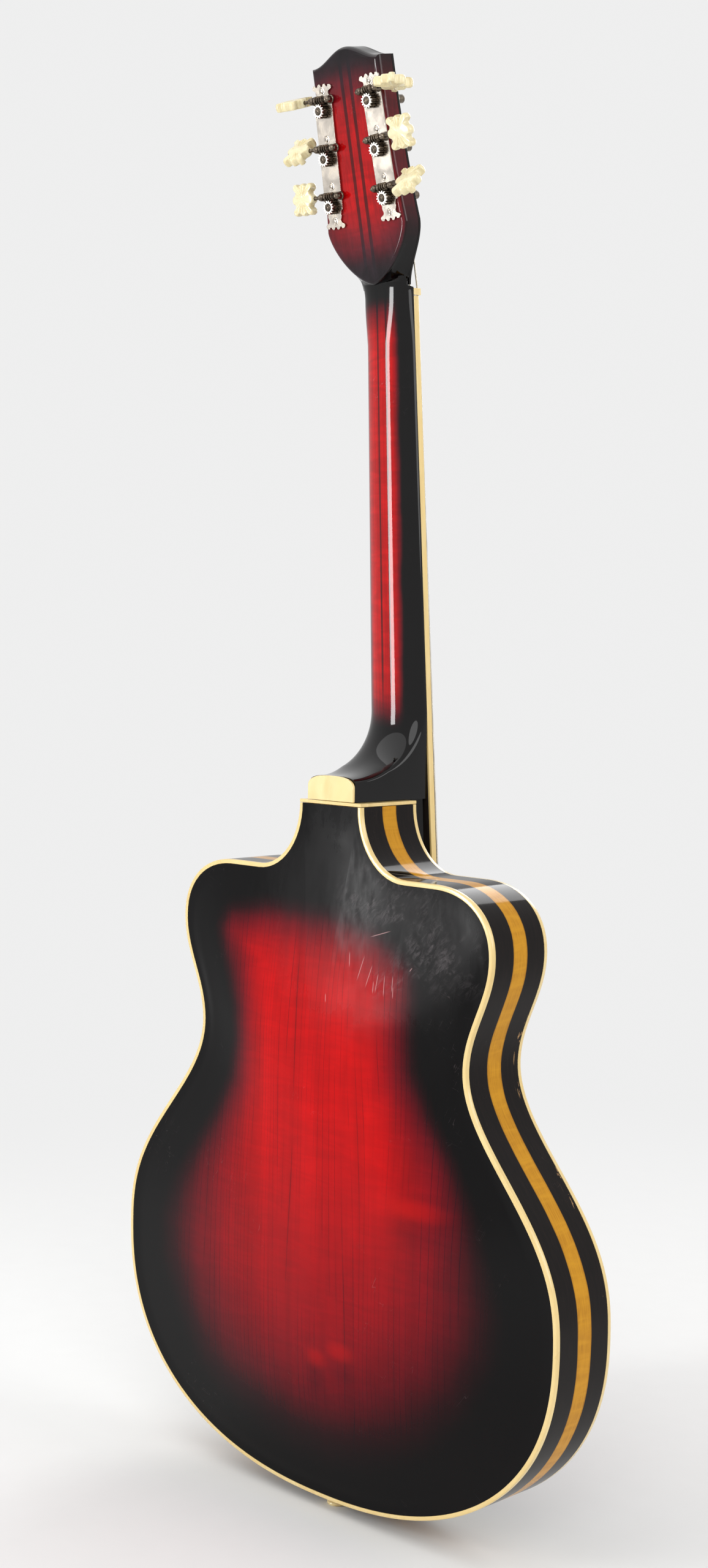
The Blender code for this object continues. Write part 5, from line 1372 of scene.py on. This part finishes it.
def button_mesh():
    """Pillow-edged button, grooves fanning over each face to the lobes at both ends."""
    line = button_outline()
    half = BUTTON_THICK / 2
    rings = []
    for k in range(9):
        a = math.radians(-80 + 160 * k / 8)
        grow = 1 - 0.10 * (1 - math.cos(a)) ** 1.2
        rings.append([(x * grow, y * grow, half * math.sin(a) / math.sin(math.radians(80))) for x, y in line])
    ends = [(x, y) for x, y, level in rings[-1]]
    for share in (0.95, 0.89, 0.82, 0.74, 0.65, 0.56, 0.47, 0.37, 0.27, 0.15):
        level = half + 0.0005 * (1 - share**2)
        face = [(x * share, y * share) for x, y in ends]
        for sign, place in ((1, len(rings)), (-1, 0)):
            rings.insert(place, [(x, y, sign * (level - groove_depth(x, y))) for x, y in face])
    mesh = loft("button", [[(BUTTON_OUT + x, y, level) for x, y, level in ring] for ring in rings])
    bore = [(-0.003, SHAFT_RADIUS + SEAM), (0.0125, SHAFT_RADIUS + SEAM)]
    return cut(mesh, lathe("bore", bore, 20, [at(BUTTON_OUT - 0.0092, 0, 0) @ TO_X]))


def slotted(mesh, half_length, half_width, low, high, angle):
    """With a screwdriver's slot."""
    tool = block("slot", (-half_length, -half_width, low), (half_length, half_width, high))
    tool.transform(Matrix.Rotation(angle, 4, "Z"))
    return cut(mesh, tool)


def dome(base, rise, radius, steps):
    """Profile points of a turned dome that ends in a point."""
    turns = [math.pi / 2 * k / steps for k in range(steps)]
    return [(base + rise * math.sin(a), radius * math.cos(a)) for a in turns] + [(base + rise, 0.0)]


def screw_mesh(slot_angle):
    """Round-head wood screw, slotted, in a raised ring."""
    profile = [(-0.0006, 0.0027), (0.0001, 0.0027), (0.00028, 0.00255), (0.00032, 0.0023), (0.00010, 0.0020)]
    profile += [(0.0, 0.0018), *dome(0.0, 0.0008, 0.0017, 6)]
    return slotted(lathe("screw", profile, 28), 0.0015, 0.00025, 0.0004, 0.003, slot_angle)


def tuner_plate(side, label):
    place = HEAD @ plate_frame(side)
    node = f"tuner_plate_{label}"
    mesh = prism("plate", plate_outline(), SEAM, PLATE_TOP)
    places = [at(0, on_plate(index), 0) for index in range(3)]
    mesh = cut(mesh, lathe("holes", [(-0.002, POST_HOLE), (0.004, POST_HOLE)], 28, places))
    show(f"{node}_strip", mesh, place, "nickel", [node], bevel=0.00022)
    r = BEARING_RADIUS
    low, high = PLATE_TOP, GEAR_MIDDLE - 0.0002
    profile = [(low - 0.0002, r + 0.0005), (low + 0.0005, r + 0.0004), (low + 0.0009, r)]
    profile += dome(high, 0.0034, r, 7)
    lines = [on_plate(index) + WORM_MESH for index in range(3)]
    bearings = lathe("bearings", profile, 28, [at(out * BEARING_OUT, y, 0) for y in lines for out in (-1, 1)])
    reach = BEARING_OUT + r + 0.003
    bore = SHAFT_RADIUS + 0.00012
    places = [at(-reach, y, GEAR_MIDDLE) @ TO_X for y in lines]
    bores = lathe("bores", [(0.0, bore), (2 * reach, bore)], 24, places)
    show(f"{node}_bearings", cut(bearings, bores), place, "aged", [node], 40)
    for count, y in enumerate(SCREW_SPOTS):
        screw = screw_mesh(0.4 + 1.1 * count + side)
        spot = place @ at(0, y, PLATE_TOP)
        show(f"plate_screw_{label}_{count + 1}", screw, spot, "nickel", [], 40)


def post_mesh(number):
    """String post: slotted round head over the gear, stub through it, capstan in front of the head."""
    top = GEAR_LOW + GEAR_FACE
    end = -HEAD_THICK - POST_OUT
    r = POST_STUB
    profile = [(end, 0.0), (end, POST_RADIUS - 0.0010), (end + 0.0004, POST_RADIUS - 0.0004)]
    profile += [(end + 0.0010, POST_RADIUS), (end + 0.0028, POST_RADIUS)]
    profile += [(GEAR_LOW - SEAM, POST_RADIUS), (GEAR_LOW - SEAM, r)]
    profile += [(top - 0.0003, r), (top - 0.0002, r + 0.0007), (top + 0.0003, r + 0.0006)]
    profile += [(top + 0.0008, r + 0.0001), (top + 0.0010, 0.0)]
    mesh = lathe("post", profile, 36)
    return slotted(mesh, 0.004, 0.00028, top + 0.0004, top + 0.003, 0.5 + 0.7 * number)


def tuner_pieces():
    gear = gear_mesh()
    worm = worm_mesh()
    button = button_mesh()
    tuner_plate(1, "bass")
    tuner_plate(-1, "treble")
    for number in range(1, 7):
        side, index = tuner_of(number)
        spot = HEAD @ tuner_spot(side, index)
        across = Matrix.Identity(4) if side > 0 else Matrix.Rotation(math.pi, 4, "Y")
        line = spot @ at(0, WORM_MESH, GEAR_MIDDLE) @ across
        turned = line @ Matrix.Rotation(math.radians(BUTTON_TURNS[number]), 4, "X")
        for name, mesh, place, look, body, node, slot, angle in (
            ("gear", gear.copy(), spot @ at(0, 0, GEAR_MIDDLE), "gear", "capstan", "gear", "nickel", 30),
            ("post", post_mesh(number), spot, "aged", "capstan", "string_post", "aged_nickel", 40),
            ("worm", worm.copy(), line, "aged", "winder", "worm", "aged_nickel", 50),
            ("button", button.copy(), turned, "button", "winder", "button", "cream_plastic", 50),
        ):
            nodes = [f"{node}_{number}"]
            show(f"{name}_fine_{number}", mesh, place, look, nodes, angle, body=f"{body}_{number}")


# Strings
def string_x(number, spread):
    return spread / 2 - spread * (number - 1) / 5


def string_points(number):
    """The same route as the solid's, with finer turns."""
    to_body = BODY.inverted() @ NECK
    to_head = to_body @ HEAD_LOCAL
    radius = STRING_RADII[number - 1]
    nut_y = -BOARD_EDGE - board_crown(0, NUT_HALF) - NUT_RISE - radius
    x_nut = string_x(number, NUT_SPREAD)
    x_saddle = string_x(number, SADDLE_SPREAD)
    saddle_y = BOARD_EDGE + board_crown(x_saddle, SADDLE_SPREAD / 2 + 0.002) + STRING_RISE_SADDLE + radius
    saddle = to_body @ Vector((x_saddle, -saddle_y, NUT_FROM_JOINT - SCALE_LENGTH))
    anchor = Vector((x_saddle * TAIL_SHARE, TAIL_Y - TAIL_BAR - radius - SEAM, ANCHOR_Z))
    leave = to_body @ Vector((x_nut, nut_y + 0.0001, NUT_FROM_JOINT + NUT_THICK))
    points = [
        anchor + Vector((0, 0, -STRING_TAIL)),
        anchor,
        saddle + (anchor - saddle).normalized() * 0.003 + Vector((0, 0.00018, 0)),
        saddle,
        to_body @ Vector((x_nut, nut_y, NUT_FROM_JOINT + 0.0006)),
        leave,
    ]
    side, index = tuner_of(number)
    centre = tuner_spot(side, index).translation
    wrap = POST_HOLE + radius
    to_post = (centre - to_head.inverted() @ leave).xy
    first = math.atan2(to_post.y, to_post.x) + side * (math.asin(wrap / to_post.length) + math.pi / 2)
    for i in range(WIND_TURNS * WIND_STEPS + 1):
        turns = i / WIND_STEPS
        angle = first - side * 2 * math.pi * turns
        depth = -WIND_ENTRY + (2 * radius + WIND_GAP) * turns
        round_post = Vector((wrap * math.cos(angle), wrap * math.sin(angle), depth))
        points.append(to_head @ (Vector((centre.x, centre.y, 0.0)) + round_post))
    return points


def string_pieces():
    for number, radius in enumerate(STRING_RADII, 1):
        look = "steel" if number < 3 else "wound"
        mesh = wire(f"string_fine_{number}", string_points(number), radius, 12)
        show(f"string_fine_{number}", mesh, BODY, look, [f"string_{number}"], 80)


# Bridge and tailpiece
def tailpiece():
    """Bar for the strings' ends, two bowed rods and a hinge tube with its bore."""
    hinge_y = -RIM_DEPTH - HINGE_RADIUS - 0.0012
    profile = [(-TAIL_HALF - 0.0008, TAIL_BAR * 0.45), (-TAIL_HALF, TAIL_BAR * 0.8)]
    profile += [(-TAIL_HALF + 0.0009, TAIL_BAR)]
    profile += [(-p, r) for p, r in profile[::-1]]
    bar = lathe("tail_fine", profile, 36, [at(0, TAIL_Y, TAIL_Z) @ TO_X])
    for side in (-1, 1):
        path = []
        for i in range(61):
            t = i / 60
            x = blend(side * (TAIL_HALF - 0.003), side * (HINGE_HALF * 0.42), smooth_rise(t / 0.94))
            y = blend(TAIL_Y, hinge_y, smooth_rise((t - 0.22) / 0.78))
            path.append((x, y, blend(TAIL_Z, HINGE_Z, t)))
        bar = cut(bar, wire("rod", path, TAIL_ROD, 20), "UNION")
    inner = HINGE_HALF * 0.62
    bore = HINGE_RADIUS * 0.5 + 0.0001
    turn = at(0, hinge_y, HINGE_Z) @ TO_X
    bar = cut(bar, lathe("tube", [(-inner, HINGE_RADIUS), (inner, HINGE_RADIUS)], 32, [turn]), "UNION")
    return cut(bar, lathe("bore", [(-0.02, bore), (0.02, bore)], 28, [turn]))


def string_ends():
    """The small barrels that hold the strings behind the bar."""
    places = []
    for number, radius in enumerate(STRING_RADII, 1):
        y = TAIL_Y - TAIL_BAR - radius - SEAM
        z = ANCHOR_Z - STRING_TAIL - 0.0016
        places.append(at(string_x(number, SADDLE_SPREAD) * TAIL_SHARE, y, z) @ TO_X)
    profile = [(-0.0015, 0.0013), (-0.0012, 0.0019), (0.0012, 0.0019), (0.0015, 0.0013)]
    return lathe("string_ends", profile, 20, places)


def end_pin():
    seat = -SEAM - BRACKET_THICK - SEAM
    profile = [(-PIN_STAND, 0.0), (-PIN_STAND, PIN_HEAD - 0.0014)]
    profile += arc((PIN_ROUND - PIN_STAND, PIN_HEAD - PIN_ROUND), PIN_ROUND, 180, 30, 6)
    profile += [(-0.0062, PIN_NECK + 0.0006), (-0.0050, PIN_NECK), (seat - 0.0022, PIN_NECK + 0.0004)]
    profile += [(seat - 0.0010, PIN_HEAD - 0.0012), (seat - 0.0004, PIN_HEAD - 0.0006)]
    profile += [(seat, PIN_HEAD - 0.0008), (seat, 0.0030), (0.0150, 0.0030), (0.0178, 0.0024), (0.0180, 0.0)]
    return lathe("end_pin_fine", profile, 48)


def fitting_pieces():
    dress("bridge_base", "ebony", 0.0006, 3)
    dress("bridge_saddle", "ebony", 0.0004)
    for label in ("bass", "treble"):
        dress(f"bridge_stud_{label}", "nickel", 0.0002)
        dress(f"thumbwheel_{label}", "nickel", 0.0002)
    dress("tailpiece_bracket", "nickel", 0.0003)
    show("tail_fine", tailpiece(), BODY, "nickel", ["tailpiece"], 40)
    show("string_ends", string_ends(), BODY, "gear", [], 40)
    show("end_pin_fine", end_pin(), BODY @ at(0, -PIN_INSET, 0), "cap", ["end_pin"], 40)


# Studio
BACKGROUND = (0.86, 0.86, 0.86, 1.0)
CAMERA_PLACE = (-1.084763, 1.066866, 0.618328)
CAMERA_TURNS = (44.847, -3.984, 0.884)  # yaw, pitch and roll
CAMERA_LENS = 50.009


def seen_rays(nodes, links):
    """1 for rays that come from the camera, a mirror or glass."""
    path = nodes.new("ShaderNodeLightPath")
    value = path.outputs["Is Camera Ray"]
    for name in ("Is Glossy Ray", "Is Transmission Ray"):
        either = nodes.new("ShaderNodeMath")
        either.operation = "MAXIMUM"
        links.new(value, either.inputs[0])
        links.new(path.outputs[name], either.inputs[1])
        value = either.outputs[0]
    return value


def floor_piece():
    """Pale paper that fades into the background away from the guitar."""
    bm = bmesh.new()
    bmesh.ops.create_circle(bm, cap_ends=True, segments=96, radius=14.0)
    floor = placed("floor", finish_mesh(bm, "floor"))
    look = Look("floor_paper", roughness=0.9)
    look.set("Specular IOR Level", 0.0)
    look.set("Base Color", look.mix(look.noise(40.0, 3.0), (0.79, 0.79, 0.785), (0.81, 0.81, 0.805)))
    nodes, links = look.tree.nodes, look.tree.links
    far = look.length(look.place).smooth(0.45, 1.5) * Value(look, seen_rays(nodes, links))
    plain = look.made("ShaderNodeEmission", {"Color": BACKGROUND})
    blended = look.made("ShaderNodeMixShader", {0: far, 1: Value(look, look.shader.outputs[0]), 2: plain})
    look.feed(nodes["Material Output"].inputs["Surface"], blended)
    floor.data.materials.append(look.material)


def surroundings():
    world = bpy.data.worlds.new("studio")
    bpy.context.scene.world = world
    world.use_nodes = True
    nodes, links = world.node_tree.nodes, world.node_tree.links
    seen = nodes.new("ShaderNodeMix")
    seen.data_type = "RGBA"
    seen.inputs[6].default_value = (0.42, 0.42, 0.42, 1.0)
    seen.inputs[7].default_value = BACKGROUND
    links.new(seen_rays(nodes, links), seen.inputs[0])
    links.new(seen.outputs[2], nodes["Background"].inputs["Color"])


def lamp(name, place, towards, size, power, shape="ELLIPSE"):
    light = bpy.data.lights.new(name, "AREA")
    light.shape = shape
    light.size, light.size_y = size
    light.energy = power
    obj = placed(name, light)
    obj.location = place
    obj.rotation_euler = (Vector(towards) - Vector(place)).to_track_quat("-Z", "Y").to_euler()


def studio():
    floor_piece()
    surroundings()
    lamp("key", (-2.4, 2.2, 2.3), (0, 0, 0.55), (2.6, 2.6), 50)
    lamp("crest", (1.02, 1.72, 0.80), (0, 0, 0.78), (0.34, 0.96), 20, "RECTANGLE")
    lamp("fill", (-2.6, -1.0, 1.6), (0, 0, 0.5), (1.8, 1.8), 26)
    lamp("front", (0.8, -2.6, 2.0), (0, 0, 0.5), (1.8, 1.8), 34)
    lamp("high", (0.6, 0.9, 3.0), (0, 0, 0.4), (3.4, 3.4), 34)


def camera():
    """At the photograph's own place: solved from the body's symmetry, 50 mm on a 36 mm tall frame."""
    data = bpy.data.cameras.new("camera")
    data.lens = CAMERA_LENS
    data.sensor_width = 36.0
    data.sensor_fit = "AUTO"
    data.clip_start = 0.05
    obj = placed("camera", data)
    yaw, pitch, roll = (math.radians(a) for a in CAMERA_TURNS)
    ahead = Vector((math.sin(yaw) * math.cos(pitch), -math.cos(yaw) * math.cos(pitch), math.sin(pitch)))
    right = ahead.cross(Vector((0, 0, 1))).normalized()
    up = right.cross(ahead)
    side = right * math.cos(roll) + up * math.sin(roll)
    top = up * math.cos(roll) - right * math.sin(roll)
    turn = Matrix((side, top, -ahead)).transposed().to_4x4()
    obj.matrix_world = BODY @ at(*CAMERA_PLACE) @ turn
    bpy.context.scene.camera = obj


body_pieces()
neck_pieces()
board_pieces()
tuner_pieces()
string_pieces()
fitting_pieces()
studio()
camera()
bpy.context.scene.view_settings.view_transform = "Standard"
